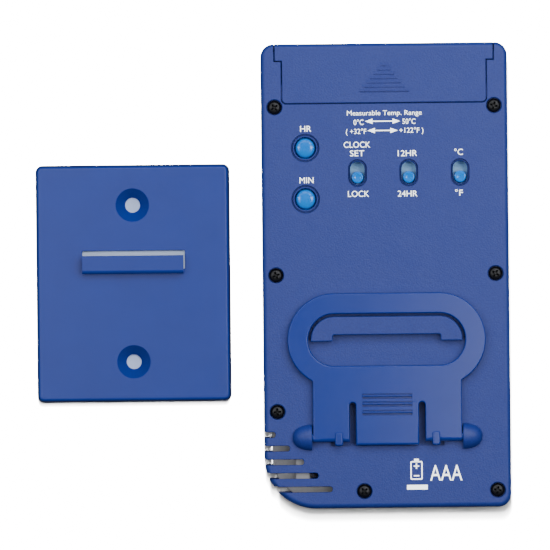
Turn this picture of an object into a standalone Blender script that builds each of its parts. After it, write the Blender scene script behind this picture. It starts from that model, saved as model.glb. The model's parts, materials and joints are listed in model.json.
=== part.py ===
"""Maximum minimum thermometer with its wall bracket, in metres.

The case lies on its display face: z = 0 is the plane of the display face, +Z runs out of the back
and +Y towards the battery door. The bracket lies beside it on the same plane. Every size below is
measured from the centre of the case's outline, and an empty then carries the whole set to the
origin, which is the centre of its footprint.
"""

import math

import bmesh
import bpy
from mathutils import Matrix, Vector

MM = 0.001
GAP = 0.3 * MM  # between pieces that touch
RUN_GAP = 0.2 * MM  # round a pivot or in a slide
OVERSHOOT = 1.0 * MM  # how far a cutter stands out of what it cuts
OVERLAP = 0.2 * MM  # how far joined shapes run into each other
FLUSH = 0.1 * MM  # keeps the faces of joined shapes out of one plane

# Case
CASE_WIDTH = 69 * MM
CASE_LENGTH = 130 * MM
FRONT_DEPTH = 9 * MM  # the front shell's share of the depth
WALL = 2 * MM
BACK_SKIN = 2.2 * MM
FACE_SKIN = 2.2 * MM
CORNER = 3.6 * MM
VENT_CORNER = 14.5 * MM
LEAST_CORNER = 0.6 * MM
EDGE_ROUND = 1.2 * MM
RIGHT = CASE_WIDTH / 2
TOP = CASE_LENGTH / 2
COVER_RIM = FRONT_DEPTH + GAP

# Case screws
SCREW_INSET = 3.8 * MM
SCREW_ROWS = (TOP - 17.7 * MM, 0.3 * MM)
VENT_SCREW_UP = 27.1 * MM  # above the lower end
LOW_SCREW_UP = 4.7 * MM
LOW_SCREW_X = -6.6 * MM
HEAD_RADIUS = 1.875 * MM
HEAD_HEIGHT = 1.3 * MM
HEAD_SUNK = 0.5 * MM
SHANK_RADIUS = 1.1 * MM
CASE_SCREW_LENGTH = 11 * MM
RECESS_RADIUS = 2.15 * MM
BOSS_RADIUS = 3.0 * MM

# Battery, its bay and its door
CELL_RADIUS = 5.25 * MM
CELL_LENGTH = 44.5 * MM
CELL_NUB = (0.8 * MM, 1.9 * MM)
WIRE_RADIUS = 0.5 * MM
WIRE_SWAY = 1 * MM
SPRING_LENGTH = 1.8 * MM
SPRING_WIRE = 0.25 * MM
SPRING_TURNS = 2.5
SPRING_RADII = (3.6 * MM, 2.0 * MM)
CONTACT_THICKNESS = 0.4 * MM
CONTACT_TAB_UP = 4.5 * MM
CONTACT_TAB_OVER = 1.5 * MM
NOTCH_ROOM = 0.5 * MM
CELL_SLACK = 0.8 * MM  # on each side of the cell
BAY_FLOOR = 4.8 * MM
BAY_WALL = 1.2 * MM
BAY_END_UP = 2.3 * MM  # the cell bay's end wall, inside the case's end
SEAT_THICKNESS = 1.7 * MM
DOOR_THICKNESS = 1.8 * MM
DOOR_HEADROOM = 0.6 * MM
CASE_DEPTH = BAY_FLOOR + GAP + 2 * CELL_RADIUS + DOOR_HEADROOM + DOOR_THICKNESS
SKIN_UNDER = CASE_DEPTH - BACK_SKIN
DOOR_MARGIN = 4.0 * MM  # from the case's side to the door's wide part
DOOR_STEP = 2.0 * MM
DOOR_WIDE_LENGTH = 4.7 * MM
DOOR_LENGTH = 16.6 * MM
DOOR_CORNER = 1.1 * MM
SKIRT_DEPTH = 6 * MM
SKIRT_THICKNESS = 1.5 * MM
TAB_LENGTH = 4 * MM
TAB_HEIGHT = 0.8 * MM
TAB_REACH = 0.9 * MM
GRIP_LINES = 7
GRIP_PITCH = 1.2 * MM
GRIP_HALF_BASE = 7.05 * MM
GRIP_DEPTH = 0.4 * MM
GRIP_LINE = 0.5 * MM
GRIP_BASE_UP = 3.0 * MM

# Stand, its hinge and the hanging hood
HINGE_UP = 19.9 * MM  # above the lower end
HINGE_HEIGHT = 1.5 * MM  # above the back
STAND_THICKNESS = 2.3 * MM
STAND_REACH = 40.2 * MM  # hinge axis to the ring's far edge
RING_HALF_WIDTH = 27.7 * MM
RING_HALF_HEIGHT = 13.0 * MM
RING_BAR = 5.7 * MM
NECK_HALF_WIDTH = 20.8 * MM
NECK_BELOW = 1.3 * MM
TONGUE_HALF_WIDTH = 8.8 * MM
TONGUE_BELOW = 2.3 * MM
SLIT_WIDTH = 1.8 * MM
SLIT_LENGTH = 9.7 * MM  # above the hinge axis
LUG_X = 13.6 * MM
LUG_WIDTH = 2.3 * MM
LUG_BELOW = 2.4 * MM
LUG_ABOVE = 1.4 * MM
RIB_HALF_WIDTH = 7.0 * MM
RIB_WIDTH = 0.9 * MM
RIB_HEIGHT = 0.35 * MM
RIB_PLACES = (11.5 * MM, 9.3 * MM, 6.9 * MM)
PIVOT_RADIUS = 1.1 * MM
PIVOT_LENGTH = 2.4 * MM
DOME_LENGTH = 5.5 * MM
DOME_HALF_WIDTH = 3.6 * MM
DOME_HEIGHT = 3.3 * MM
HOOD_GAP = 0.8 * MM
HOOD_HEIGHT = 2.4 * MM
HOOD_BELOW = 0.4 * MM  # its side feet, below the ring's middle
MOUTH_HALF_WIDTH = 15.1 * MM
MOUTH_STEP = 1.8 * MM
HOOD_LIP = 1.0 * MM
HOOD_TOP_WALL = 0.9 * MM
HOOD_SUNK = 0.6 * MM
SPRING_POCKET_HALF = 11.6 * MM
SPRING_POCKET_DEPTH = 1.7 * MM
SWING_CLEARANCE = 0.3 * MM
NECK_SIDE_GAP = 0.15 * MM

# Controls on the back
CONTROL_TOP = 36.3 * MM  # the switch row, below the upper end
BUTTON_SPREAD = 14.3 * MM
BUTTON_X = -22.2 * MM
BUTTON_RADIUS = 2.65 * MM
BUTTON_PROUD = 0.2 * MM
BUTTON_DOME = 1.0 * MM
BUTTON_TRAVEL = 0.7 * MM
BUTTON_FLANGE = 0.8 * MM
BUTTON_STEM = 1.6 * MM
FLANGE_THICKNESS = 0.8 * MM
RIM_GROOVE_RADIUS = 3.5 * MM
RIM_GROOVE = 0.35 * MM
RIM_GROOVE_DEPTH = 0.4 * MM
SWITCH_X = (-7.65 * MM, 6.7 * MM, 21.05 * MM)
SLOT_WIDTH = 4.05 * MM
SLOT_LENGTH = 6.4 * MM
RIM_SLOT_WIDTH = 5.1 * MM
RIM_SLOT_LENGTH = 7.6 * MM
KNOB_RADIUS = 1.65 * MM
SWITCH_TRAVEL = 2.4 * MM
SLIDER_WIDTH = 6.4 * MM
SLIDER_THICKNESS = 0.9 * MM
SLIDER_FOOT = (4.0 * MM, 5.0 * MM)
WIPER_THICKNESS = 0.3 * MM
WIPER_MARGIN = 0.5 * MM
WIPER_HEIGHT = 1.6 * MM

# Vents and the temperature sensor
VENT_COUNT = 5
VENT_WIDTH = 1.6 * MM
VENT_PITCH = 3.84 * MM
VENT_FIRST_UP = 20.7 * MM
VENT_FIRST_LENGTH = 3.2 * MM
VENT_GROWTH = 3.95 * MM
FACE_VENT_LENGTH = 4.1 * MM
TRAY_THICKNESS = 1.2 * MM
TRAY_CORNERS = (9 * MM, 1 * MM, 1 * MM, 1 * MM)
TRAY_WIDTH = 17.7 * MM
POST_INSET = 2.5 * MM
TRAY_SIDE = 4.3 * MM
TRAY_HEIGHT = 9.8 * MM
TRAY_RIB_X = (8.4 * MM, 11.9 * MM)  # from the case's side
TRAY_RIB_HEIGHT = 0.8 * MM
BEAD_RADIUS = 1.1 * MM
BEAD_INSET = 1.1 * MM
LEAD_RADIUS = 0.3 * MM
LEAD_SPREAD = 0.5 * MM
LEAD_RUN = 5 * MM

# Display, board and front controls
LCD_WIDTH = 50.4 * MM
LCD_LENGTH = 52 * MM
LCD_THICKNESS = 2.0 * MM
LCD_BORDER = 2.6 * MM  # hidden behind the face round the window
LENS_LEDGE = 2.3 * MM
LENS_THICKNESS = 1.0 * MM
LENS_CORNER = 2 * MM
LENS_SUNK = 0.3 * MM
HOLDER_RAIL = 1.6 * MM
HOLDER_END = 3.6 * MM
STRIP_WIDTH = 2.3 * MM
BOARD_HEIGHT = 7.4 * MM
BOARD_THICKNESS = 1.2 * MM
BOARD_CORNER = 1 * MM
BOARD_SCREW_X = 14 * MM
BOARD_POST_X = 22 * MM
BOARD_POST_UP = 27 * MM
BOARD_LOW_UP = 21 * MM
BOARD_HEAD_RADIUS = 1.75 * MM
BOARD_HEAD_HEIGHT = 1.1 * MM
BOARD_SHANK_RADIUS = 0.9 * MM
BOARD_SCREW_LENGTH = 4.0 * MM
POST_RADIUS = 2.4 * MM
BLOB_X = -2 * MM
BLOB_BELOW = 8.8 * MM  # the display's middle
BLOB_RADIUS = 6 * MM
BLOB_HEIGHT = 1.6 * MM
CRYSTAL_X = 12 * MM
CRYSTAL_ABOVE = 13 * MM  # the holder's lower end
CRYSTAL_RADIUS = 1.0 * MM
CRYSTAL_LENGTH = 6 * MM
TACT_SIZE = 6 * MM
TACT_HEIGHT = 3.4 * MM
TACT_PLUNGER = (1.7 * MM, 0.9 * MM)
KEY_X = (-17 * MM, 0, 17 * MM)
KEY_UP = 40 * MM
KEY_SIZE = (12 * MM, 6 * MM)
KEY_FLANGE = 1.0 * MM
KEY_SUNK = 0.4 * MM
KEY_TRAVEL = 0.7 * MM
KEY_STEM_RADIUS = 2.0 * MM
KEYPAD_THICKNESS = 1.2 * MM
KEYPAD_CORNER = 2 * MM
KEYPAD_BORDER = 3 * MM

# Wall bracket
BRACKET_SPACE = 9.0 * MM
BRACKET_SIZE = (54.7 * MM, 66.8 * MM)
BRACKET_DOWN = 1.5 * MM
BRACKET_DEPTH = 8 * MM
BRACKET_FACE = 2.4 * MM  # thickness of the front, behind which the bracket is hollow
BRACKET_WALL = 1.8 * MM
BRACKET_CORNER = 1.4 * MM
BRACKET_EDGE = 1.2 * MM
WALL_HOLE_UP = 22 * MM
WALL_HOLE_RADIUS = 2.1 * MM
WALL_SINK_RADIUS = 4.6 * MM
WALL_BOSS_RADIUS = 5.4 * MM
HOOK_WIDTH = 28.4 * MM
HOOK_LOW = 2.7 * MM
HOOK_HEIGHT = 5.1 * MM
HOOK_SHELF = 1.6 * MM
HOOK_CLEARANCE = 1.3 * MM
HOOK_FLANGE = 1.6 * MM
HOOK_WINDOW_HALF = 14.9 * MM
HOOK_WINDOW_TOP = 9.3 * MM

# Places that several pieces share
SIDE_SCREW_X = RIGHT - SCREW_INSET
HINGE_Y = -TOP + HINGE_UP
HINGE_Z = CASE_DEPTH + HINGE_HEIGHT
RING_Y = HINGE_Y + STAND_REACH - RING_HALF_HEIGHT
WINDOW_HALF_HEIGHT = RING_HALF_HEIGHT - RING_BAR
WINDOW_HALF_WIDTH = RING_HALF_WIDTH - RING_BAR
SWITCH_Y = TOP - CONTROL_TOP
DOOR_LOW = TOP - DOOR_LENGTH
DOOR_STEP_Y = TOP - DOOR_WIDE_LENGTH
DOOR_HALF = RIGHT - DOOR_MARGIN
DOOR_NARROW_HALF = DOOR_HALF - DOOR_STEP
DOOR_UNDER = CASE_DEPTH - DOOR_THICKNESS
SKIRT_INSIDE = TOP - SKIRT_THICKNESS
BAY_TOP = TOP - BAY_END_UP - BAY_WALL
CELL_Y = BAY_TOP - GAP - CELL_RADIUS - CELL_SLACK
CELL_Z = BAY_FLOOR + GAP + CELL_RADIUS
BAY_LOW = CELL_Y - CELL_RADIUS - GAP - CELL_SLACK
BAY_HALF = (CELL_LENGTH + SPRING_LENGTH) / 2 + CONTACT_THICKNESS + 2.5 * GAP
CELL_LEFT = -BAY_HALF + CONTACT_THICKNESS + 3 * GAP + SPRING_LENGTH
BOARD_TOP = BAY_LOW - BAY_WALL - 2 * GAP
BOARD_LOW = -TOP + BOARD_LOW_UP
BOARD_HALF = SIDE_SCREW_X - BOSS_RADIUS - 2 * GAP
BOARD_BACK = BOARD_HEIGHT + BOARD_THICKNESS
HOLDER_TOP = BOARD_TOP - GAP
LCD_TOP = HOLDER_TOP - HOLDER_END - GAP
LCD_Y = LCD_TOP - LCD_LENGTH / 2
LCD_Z = FACE_SKIN + GAP
HOLDER_LOW = LCD_TOP - LCD_LENGTH - GAP - HOLDER_END
HOLDER_HEIGHT = BOARD_HEIGHT - GAP - LCD_Z
KEY_Y = -TOP + KEY_UP
KEYPAD_Z = BOARD_HEIGHT - GAP - KEYPAD_THICKNESS
TACT_Z = BOARD_BACK + GAP
VENT_FIRST_Y = -TOP + VENT_FIRST_UP
BEAD_Z = TRAY_HEIGHT + TRAY_THICKNESS + GAP + BEAD_RADIUS
BRACKET_X = -(RIGHT + BRACKET_SPACE + BRACKET_SIZE[0] / 2)


def clear_scene():
    for item in list(bpy.data.objects):
        bpy.data.objects.remove(item)


def collection(name, hidden=False):
    made = bpy.data.collections.new(name)
    made.hide_render = hidden
    bpy.context.scene.collection.children.link(made)
    return made


clear_scene()
PARTS = collection("maximum_minimum_thermometer")
CUTTERS = collection("cutters", hidden=True)


def plastic(name, colour, roughness=0.5, metallic=0.0, alpha=1.0):
    made = bpy.data.materials.new(name)
    made.use_nodes = True
    shader = made.node_tree.nodes["Principled BSDF"]
    shader.inputs["Base Color"].default_value = (*colour, 1)
    shader.inputs["Roughness"].default_value = roughness
    shader.inputs["Metallic"].default_value = metallic
    shader.inputs["Alpha"].default_value = alpha
    return made


# Outlines


def rounded(width, height, radii, centre=(0, 0), steps=6):
    """A rectangle with round corners, anticlockwise from the lower left corner."""
    x, y = centre
    if not isinstance(radii, tuple):
        radii = (radii,) * 4
    corners = ((-1, -1), (1, -1), (1, 1), (-1, 1))
    points = []
    for index, ((sx, sy), radius) in enumerate(zip(corners, radii)):
        middle_x = x + sx * (width / 2 - radius)
        middle_y = y + sy * (height / 2 - radius)
        if radius == 0:
            points.append((middle_x, middle_y))
            continue
        for step in range(steps + 1):
            angle = math.pi * (1 + index / 2 + step / steps / 2)
            points.append((middle_x + radius * math.cos(angle), middle_y + radius * math.sin(angle)))
    return without_doubles(points)


def without_doubles(points):
    kept = []
    for point in points:
        if all(math.dist(point, other) > 1e-6 for other in kept):
            kept.append(point)
    return kept


def circle(radius, centre=(0, 0), sides=20):
    x, y = centre
    angles = [2 * math.pi * (index + 0.5) / sides for index in range(sides)]
    return [(x + radius * math.cos(angle), y + radius * math.sin(angle)) for angle in angles]


def arc(centre, radius, first, last, steps):
    """Points on an arc from one angle to another, in degrees."""
    x, y = centre
    turns = [math.radians(first + (last - first) * step / steps) for step in range(steps + 1)]
    return [(x + radius * math.cos(angle), y + radius * math.sin(angle)) for angle in turns]


def case_outline(inset=0.0):
    radii = (VENT_CORNER, CORNER, CORNER, CORNER)
    inner = tuple(max(radius - inset, LEAST_CORNER) for radius in radii)
    return rounded(CASE_WIDTH - 2 * inset, CASE_LENGTH - 2 * inset, inner)


# Solids


def add(name, mesh, material=None, place=(0, 0, 0)):
    """An object for a mesh in world coordinates, with its origin moved to place."""
    mesh.transform(Matrix.Translation(-Vector(place)))
    made = bpy.data.objects.new(name, mesh)
    made.location = place
    if material:
        mesh.materials.append(material)
        PARTS.objects.link(made)
    else:
        CUTTERS.objects.link(made)
        made.hide_render = True
        made.display_type = "WIRE"
    return made


def curve_mesh(curve, height=0.0):
    """The mesh of a curve, welded. The caps of a flat outline with no hole become one face each."""
    guide = bpy.data.objects.new(curve.name, curve)
    guide.location.z = height
    bpy.context.scene.collection.objects.link(guide)
    bpy.context.view_layer.update()
    evaluated = guide.evaluated_get(bpy.context.evaluated_depsgraph_get())
    mesh = bpy.data.meshes.new_from_object(evaluated)
    mesh.transform(guide.matrix_world)
    bpy.data.objects.remove(guide)
    shape = bmesh.new()
    shape.from_mesh(mesh)
    bmesh.ops.remove_doubles(shape, verts=shape.verts, dist=1e-7)
    if curve.dimensions == "2D" and len(curve.splines) == 1:
        caps = [face for face in shape.faces if is_level(face)]
        bmesh.ops.dissolve_faces(shape, faces=caps)
    bmesh.ops.recalc_face_normals(shape, faces=shape.faces)
    shape.to_mesh(mesh)
    shape.free()
    return mesh


def is_level(face):
    heights = [vertex.co.z for vertex in face.verts]
    return max(heights) - min(heights) < 1e-7


def plate(name, outline, low, high, holes=(), material=None, place=(0, 0, 0), rims=(), steps=2):
    """A flat outline between two heights. Each rim is (height, radius of its rounding)."""
    curve = bpy.data.curves.new(name, "CURVE")
    curve.dimensions = "2D"
    curve.fill_mode = "BOTH"
    curve.extrude = (high - low) / 2
    for points in (outline, *holes):
        spline = curve.splines.new("POLY")
        spline.points.add(len(points) - 1)
        for point, (x, y) in zip(spline.points, points):
            point.co = (x, y, 0, 1)
        spline.use_cyclic_u = True
    mesh = curve_mesh(curve, (low + high) / 2)
    if rims:
        round_rims(mesh, outline, rims, steps)
    return add(name, mesh, material, place)


def round_rims(mesh, outline, rims, steps):
    """Rounds the outline's edges at the given heights."""
    shape = bmesh.new()
    shape.from_mesh(mesh)
    for height, radius in rims:
        edges = []
        for edge in shape.edges:
            level = all(abs(vertex.co.z - height) < 1e-6 for vertex in edge.verts)
            outer = all(on_outline(vertex.co, outline) for vertex in edge.verts)
            if level and outer:
                edges.append(edge)
        bmesh.ops.bevel(
            shape, geom=edges, offset=radius, segments=steps, profile=0.5, affect="EDGES"
        )
    shape.to_mesh(mesh)
    shape.free()


def on_outline(point, outline):
    return any(math.dist((point.x, point.y), corner) < 2e-6 for corner in outline)


def across(name, outline, start, end, material=None, place=(0, 0, 0)):
    """An outline of (y, z) points, extruded along X."""
    made = plate(name, outline, start, end)
    mesh = made.data
    bpy.data.objects.remove(made)
    mesh.transform(Matrix(((0, 0, 1, 0), (1, 0, 0, 0), (0, 1, 0, 0), (0, 0, 0, 1))))
    return add(name, mesh, material, place)


def box(name, low, high, material=None, place=(0, 0, 0)):
    shape = bmesh.new()
    bmesh.ops.create_cube(shape, size=1)
    size = Vector(high) - Vector(low)
    middle = (Vector(high) + Vector(low)) / 2
    bmesh.ops.transform(shape, matrix=Matrix.Translation(middle) @ Matrix.Diagonal((*size, 1)),
                        verts=shape.verts)
    return add(name, finished(name, shape), material, place)


def cylinder(name, centre, radius, low, high, sides=20, material=None, place=(0, 0, 0),
             axis="Z", top_radius=None):
    """A cylinder or cone between two places on its axis; centre gives the other two."""
    shape = bmesh.new()
    last = radius if top_radius is None else top_radius
    bmesh.ops.create_cone(shape, cap_ends=True, segments=sides, radius1=radius, radius2=last,
                          depth=high - low)
    half_side = Matrix.Rotation(math.pi / sides, 4, "Z")
    first, second = centre
    middle = (low + high) / 2
    if axis == "Z":
        turn = Matrix.Translation((first, second, middle))
    elif axis == "X":
        turn = Matrix.Translation((middle, first, second)) @ Matrix.Rotation(math.pi / 2, 4, "Y")
    else:
        turn = Matrix.Translation((first, middle, second)) @ Matrix.Rotation(-math.pi / 2, 4, "X")
    bmesh.ops.transform(shape, matrix=turn @ half_side, verts=shape.verts)
    return add(name, finished(name, shape), material, place)


def ellipsoid(name, centre, radii, sides=20, rings=12, material=None, place=(0, 0, 0)):
    """A stretched sphere with its poles on X."""
    shape = bmesh.new()
    bmesh.ops.create_uvsphere(shape, u_segments=sides, v_segments=rings, radius=1)
    turn = Matrix.Diagonal((*radii, 1)) @ Matrix.Rotation(math.pi / 2, 4, "Y")
    bmesh.ops.transform(shape, matrix=Matrix.Translation(centre) @ turn, verts=shape.verts)
    return add(name, finished(name, shape), material, place)


def finished(name, shape):
    bmesh.ops.recalc_face_normals(shape, faces=shape.faces)
    mesh = bpy.data.meshes.new(name)
    shape.to_mesh(mesh)
    shape.free()
    return mesh


def turned(name, profile, centre, sides=20, material=None):
    """A profile of (radius, height) from the top of the axis to its bottom, turned about Z."""
    shape = bmesh.new()
    vertices = [shape.verts.new((radius, 0, height)) for radius, height in profile]
    for first, second in zip(vertices, vertices[1:]):
        shape.edges.new((first, second))
    mesh = bpy.data.meshes.new(name)
    shape.to_mesh(mesh)
    shape.free()
    made = add(name, mesh, material)
    made.location = centre
    screw = made.modifiers.new("turn", "SCREW")
    screw.steps = sides
    screw.render_steps = sides
    screw.use_merge_vertices = True
    screw.merge_threshold = 1e-6
    return made


def wire(name, points, radius, material=None, place=(0, 0, 0), smooth=6):
    """A round wire through its points, on a curve sampled between them."""
    curve = bpy.data.curves.new(name, "CURVE")
    curve.dimensions = "3D"
    curve.bevel_depth = radius
    curve.bevel_resolution = 2
    curve.use_fill_caps = True
    samples = through(points, smooth)
    spline = curve.splines.new("POLY")
    spline.points.add(len(samples) - 1)
    for point, sample in zip(spline.points, samples):
        point.co = (*sample, 1)
    return add(name, curve_mesh(curve), material, place)


def through(points, count):
    """Points on a smooth curve through the given ones, count to each stretch."""
    if count == 1:
        return [Vector(point) for point in points]
    ends = [Vector(point) for point in points]
    padded = [2 * ends[0] - ends[1], *ends, 2 * ends[-1] - ends[-2]]
    samples = []
    for before, first, last, after in zip(padded, padded[1:], padded[2:], padded[3:]):
        for step in range(count):
            t = step / count
            bend = 2 * before - 5 * first + 4 * last - after
            twist = 3 * first - before - 3 * last + after
            samples.append((2 * first + (last - before) * t + bend * t**2 + twist * t**3) / 2)
    return [*samples, ends[-1]]


def combine(target, tools, operation):
    for tool in tools:
        modifier = target.modifiers.new(tool.name, "BOOLEAN")
        modifier.operation = operation
        modifier.object = tool


def join(target, *tools):
    combine(target, tools, "UNION")


def cut(target, *tools):
    combine(target, tools, "DIFFERENCE")


# Materials
CASE_BLUE = plastic("case_plastic", (0.06, 0.11, 0.33), 0.5)
STAND_BLUE = plastic("smooth_blue_plastic", (0.05, 0.13, 0.42), 0.3)
BUTTON_BLUE = plastic("button_plastic", (0.01, 0.28, 0.85), 0.2)
LENS_CLEAR = plastic("display_lens", (0.9, 0.93, 0.95), 0.05, alpha=0.35)
LCD_GREY = plastic("lcd_glass", (0.45, 0.5, 0.45), 0.15)
HOLDER_WHITE = plastic("white_plastic", (0.8, 0.8, 0.78), 0.5)
RUBBER_GREY = plastic("grey_rubber", (0.3, 0.3, 0.31), 0.8)
STRIP_RUBBER = plastic("contact_rubber", (0.75, 0.4, 0.45), 0.7)
BOARD_GREEN = plastic("circuit_board", (0.03, 0.2, 0.08), 0.4)
EPOXY_BLACK = plastic("black_epoxy", (0.02, 0.02, 0.02), 0.35)
SCREW_BLACK = plastic("black_steel", (0.03, 0.03, 0.035), 0.35, 0.8)
STEEL = plastic("plated_steel", (0.6, 0.6, 0.6), 0.3, 1.0)
BRASS = plastic("wiper_brass", (0.75, 0.55, 0.25), 0.35, 1.0)
TRAY_GREY = plastic("sensor_tray_plastic", (0.6, 0.6, 0.6), 0.5)
CELL_SLEEVE = plastic("cell_sleeve", (0.15, 0.15, 0.17), 0.3, 0.5)
WIRE_RED = plastic("wire_red", (0.6, 0.03, 0.02), 0.5)
WIRE_BLACK = plastic("wire_black", (0.02, 0.02, 0.02), 0.5)


def screw_places():
    """The case screws, each (x, y)."""
    upper = [(side * SIDE_SCREW_X, y) for y in SCREW_ROWS for side in (-1, 1)]
    low = -TOP + LOW_SCREW_UP
    return [*upper, (-SIDE_SCREW_X, -TOP + VENT_SCREW_UP), (LOW_SCREW_X, low), (SIDE_SCREW_X, low)]


def holder_screw_places():
    """The board screws that go into the display holder's two end rails."""
    rows = (HOLDER_TOP - HOLDER_END / 2, HOLDER_LOW + HOLDER_END / 2)
    return [(side * BOARD_SCREW_X, y) for y in rows for side in (-1, 1)]


def post_places():
    return [(side * BOARD_POST_X, -TOP + BOARD_POST_UP) for side in (-1, 1)]


def vents():
    """The vent slots, each (y, x of its inner end)."""
    places = []
    for index in range(VENT_COUNT):
        depth = VENT_FIRST_LENGTH + index * VENT_GROWTH
        places.append((VENT_FIRST_Y - index * VENT_PITCH, -RIGHT + depth))
    return places


def button_places():
    return {"hr": SWITCH_Y + BUTTON_SPREAD / 2, "min": SWITCH_Y - BUTTON_SPREAD / 2}


# Rear cover


def cover_shell():
    cover = plate("rear_cover", case_outline(), COVER_RIM, CASE_DEPTH, material=CASE_BLUE,
                  rims=((CASE_DEPTH, EDGE_ROUND),), steps=3)
    hollow = plate("cover_hollow", case_outline(WALL), COVER_RIM - OVERSHOOT, SKIN_UNDER)
    cut(cover, hollow)
    return cover


def cover_bosses(cover):
    for index, place in enumerate(screw_places()):
        boss = cylinder(f"cover_boss_{index}", place, BOSS_RADIUS, COVER_RIM + FLUSH,
                        SKIN_UNDER + OVERLAP)
        join(cover, boss)


def battery_bay(cover):
    """The cell's tray, the seat under the door, and the door's opening."""
    bay_end = BAY_TOP + BAY_WALL
    tray = box("bay_block", (-BAY_HALF - BAY_WALL, BAY_LOW - BAY_WALL, BAY_FLOOR - BAY_WALL),
               (BAY_HALF + BAY_WALL, bay_end, SKIN_UNDER + OVERLAP))
    seat = box("door_seat",
               (-DOOR_HALF - 2 * GAP, DOOR_LOW - BAY_WALL, SKIN_UNDER - SEAT_THICKNESS),
               (DOOR_HALF + 2 * GAP, TOP - WALL + OVERLAP, SKIN_UNDER + OVERLAP))
    join(cover, tray, seat)
    pocket = box("bay_pocket", (-BAY_HALF, BAY_LOW, BAY_FLOOR), (BAY_HALF, BAY_TOP, CASE_DEPTH))
    opening = plate("door_opening", door_outline(GAP), DOOR_UNDER - GAP, CASE_DEPTH + OVERSHOOT)
    skirt_half = DOOR_HALF + GAP + FLUSH
    end = box("skirt_opening", (-skirt_half, TOP - WALL - OVERLAP, CASE_DEPTH - SKIRT_DEPTH - GAP),
              (skirt_half, TOP + OVERSHOOT, CASE_DEPTH + 2 * OVERSHOOT))
    cut(cover, pocket, opening, end)
    for side in (-1, 1):
        near, far = sorted((side * (DOOR_NARROW_HALF - GAP),
                            side * (DOOR_NARROW_HALF + TAB_REACH + GAP)))
        groove = box(f"tab_groove_{side}", (near, DOOR_LOW + 2 * GAP, DOOR_UNDER - FLUSH),
                     (far, DOOR_STEP_Y, DOOR_UNDER + OVERLAP + TAB_HEIGHT + GAP))
        inner, outer = sorted((side * (BAY_HALF - CONTACT_THICKNESS - 3 * GAP),
                               side * (BAY_HALF - FLUSH)))
        notch = box(f"contact_notch_{side}",
                    (inner, BAY_LOW - BAY_WALL - GAP, BAY_FLOOR + CONTACT_TAB_UP - NOTCH_ROOM),
                    (outer, BAY_LOW + GAP, CELL_Z + CONTACT_TAB_OVER + NOTCH_ROOM))
        cut(cover, groove, notch)


def door_outline(grow=0.0):
    """The door as seen from the back: a narrow part with round corners under a wide one."""
    narrow = DOOR_NARROW_HALF + grow
    wide = DOOR_HALF + grow
    low = DOOR_LOW - grow
    radius = DOOR_CORNER + grow
    left = arc((-narrow + radius, low + radius), radius, 180, 270, 4)
    right = arc((narrow - radius, low + radius), radius, 270, 360, 4)
    step = DOOR_STEP_Y - grow
    far = TOP + (OVERSHOOT if grow else 0)
    return [*left, *right, (narrow, step), (wide, step), (wide, far), (-wide, far),
            (-wide, step), (-narrow, step)]


def screw_recesses(cover):
    for index, place in enumerate(screw_places()):
        recess = cylinder(f"screw_recess_{index}", place, RECESS_RADIUS, SKIN_UNDER,
                          CASE_DEPTH + OVERSHOOT, sides=24)
        passage = cylinder(f"screw_passage_{index}", place, SHANK_RADIUS + GAP,
                           COVER_RIM - OVERSHOOT, SKIN_UNDER + OVERLAP, sides=12)
        cut(cover, recess, passage)


def control_holes(cover):
    """A hole and a fine groove round it for each button and switch."""
    groove_low = CASE_DEPTH - RIM_GROOVE_DEPTH
    through_low = SKIN_UNDER - OVERSHOOT
    for name, y in button_places().items():
        centre = (BUTTON_X, y)
        ring = plate(f"{name}_rim", circle(RIM_GROOVE_RADIUS + RIM_GROOVE, centre, 24), groove_low,
                     CASE_DEPTH + OVERSHOOT, holes=[circle(RIM_GROOVE_RADIUS, centre, 24)])
        hole = cylinder(f"{name}_hole", centre, BUTTON_RADIUS + GAP, through_low,
                        CASE_DEPTH + OVERSHOOT, sides=24)
        cut(cover, ring, hole)
    for index, x in enumerate(SWITCH_X):
        centre = (x, SWITCH_Y)
        ring = plate(f"switch_rim_{index}", slot_outline(RIM_SLOT_WIDTH, RIM_SLOT_LENGTH, centre),
                     groove_low, CASE_DEPTH + OVERSHOOT,
                     holes=[slot_outline(RIM_SLOT_WIDTH - 2 * RIM_GROOVE,
                                         RIM_SLOT_LENGTH - 2 * RIM_GROOVE, centre)])
        slot = plate(f"switch_slot_{index}", slot_outline(SLOT_WIDTH, SLOT_LENGTH, centre),
                     through_low, CASE_DEPTH + OVERSHOOT)
        cut(cover, ring, slot)


def slot_outline(width, length, centre):
    return rounded(width, length, width / 2, centre, steps=5)


def hood_outline():
    """The hood fills the upper half of the stand's window; its lower edge steps up at the mouth."""
    radius = WINDOW_HALF_HEIGHT - HOOD_GAP
    centre_x = WINDOW_HALF_WIDTH - WINDOW_HALF_HEIGHT
    foot = RING_Y - HOOD_BELOW
    mouth = foot + MOUTH_STEP
    side = centre_x + math.sqrt(radius**2 - HOOD_BELOW**2)
    right = arc((centre_x, RING_Y), radius, 0, 90, 6)
    left = arc((-centre_x, RING_Y), radius, 90, 180, 6)
    return [(-MOUTH_HALF_WIDTH, foot), (-MOUTH_HALF_WIDTH, mouth), (MOUTH_HALF_WIDTH, mouth),
            (MOUTH_HALF_WIDTH, foot), (side, foot), *right, *left, (-side, foot)]


def hanging_hood(cover):
    """The raised pad whose open lower edge drops over the bracket's hook."""
    top = CASE_DEPTH + HOOD_HEIGHT
    hood = plate("hood_block", hood_outline(), CASE_DEPTH - OVERLAP, top)
    far = RING_Y + WINDOW_HALF_HEIGHT - HOOD_GAP - HOOD_TOP_WALL
    low = RING_Y - HOOD_BELOW - OVERSHOOT
    pocket = box("hood_pocket", (-MOUTH_HALF_WIDTH + GAP, low, CASE_DEPTH - HOOD_SUNK),
                 (MOUTH_HALF_WIDTH - GAP, far, top - HOOD_LIP))
    join(cover, hood)
    cut(cover, pocket)


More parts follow.
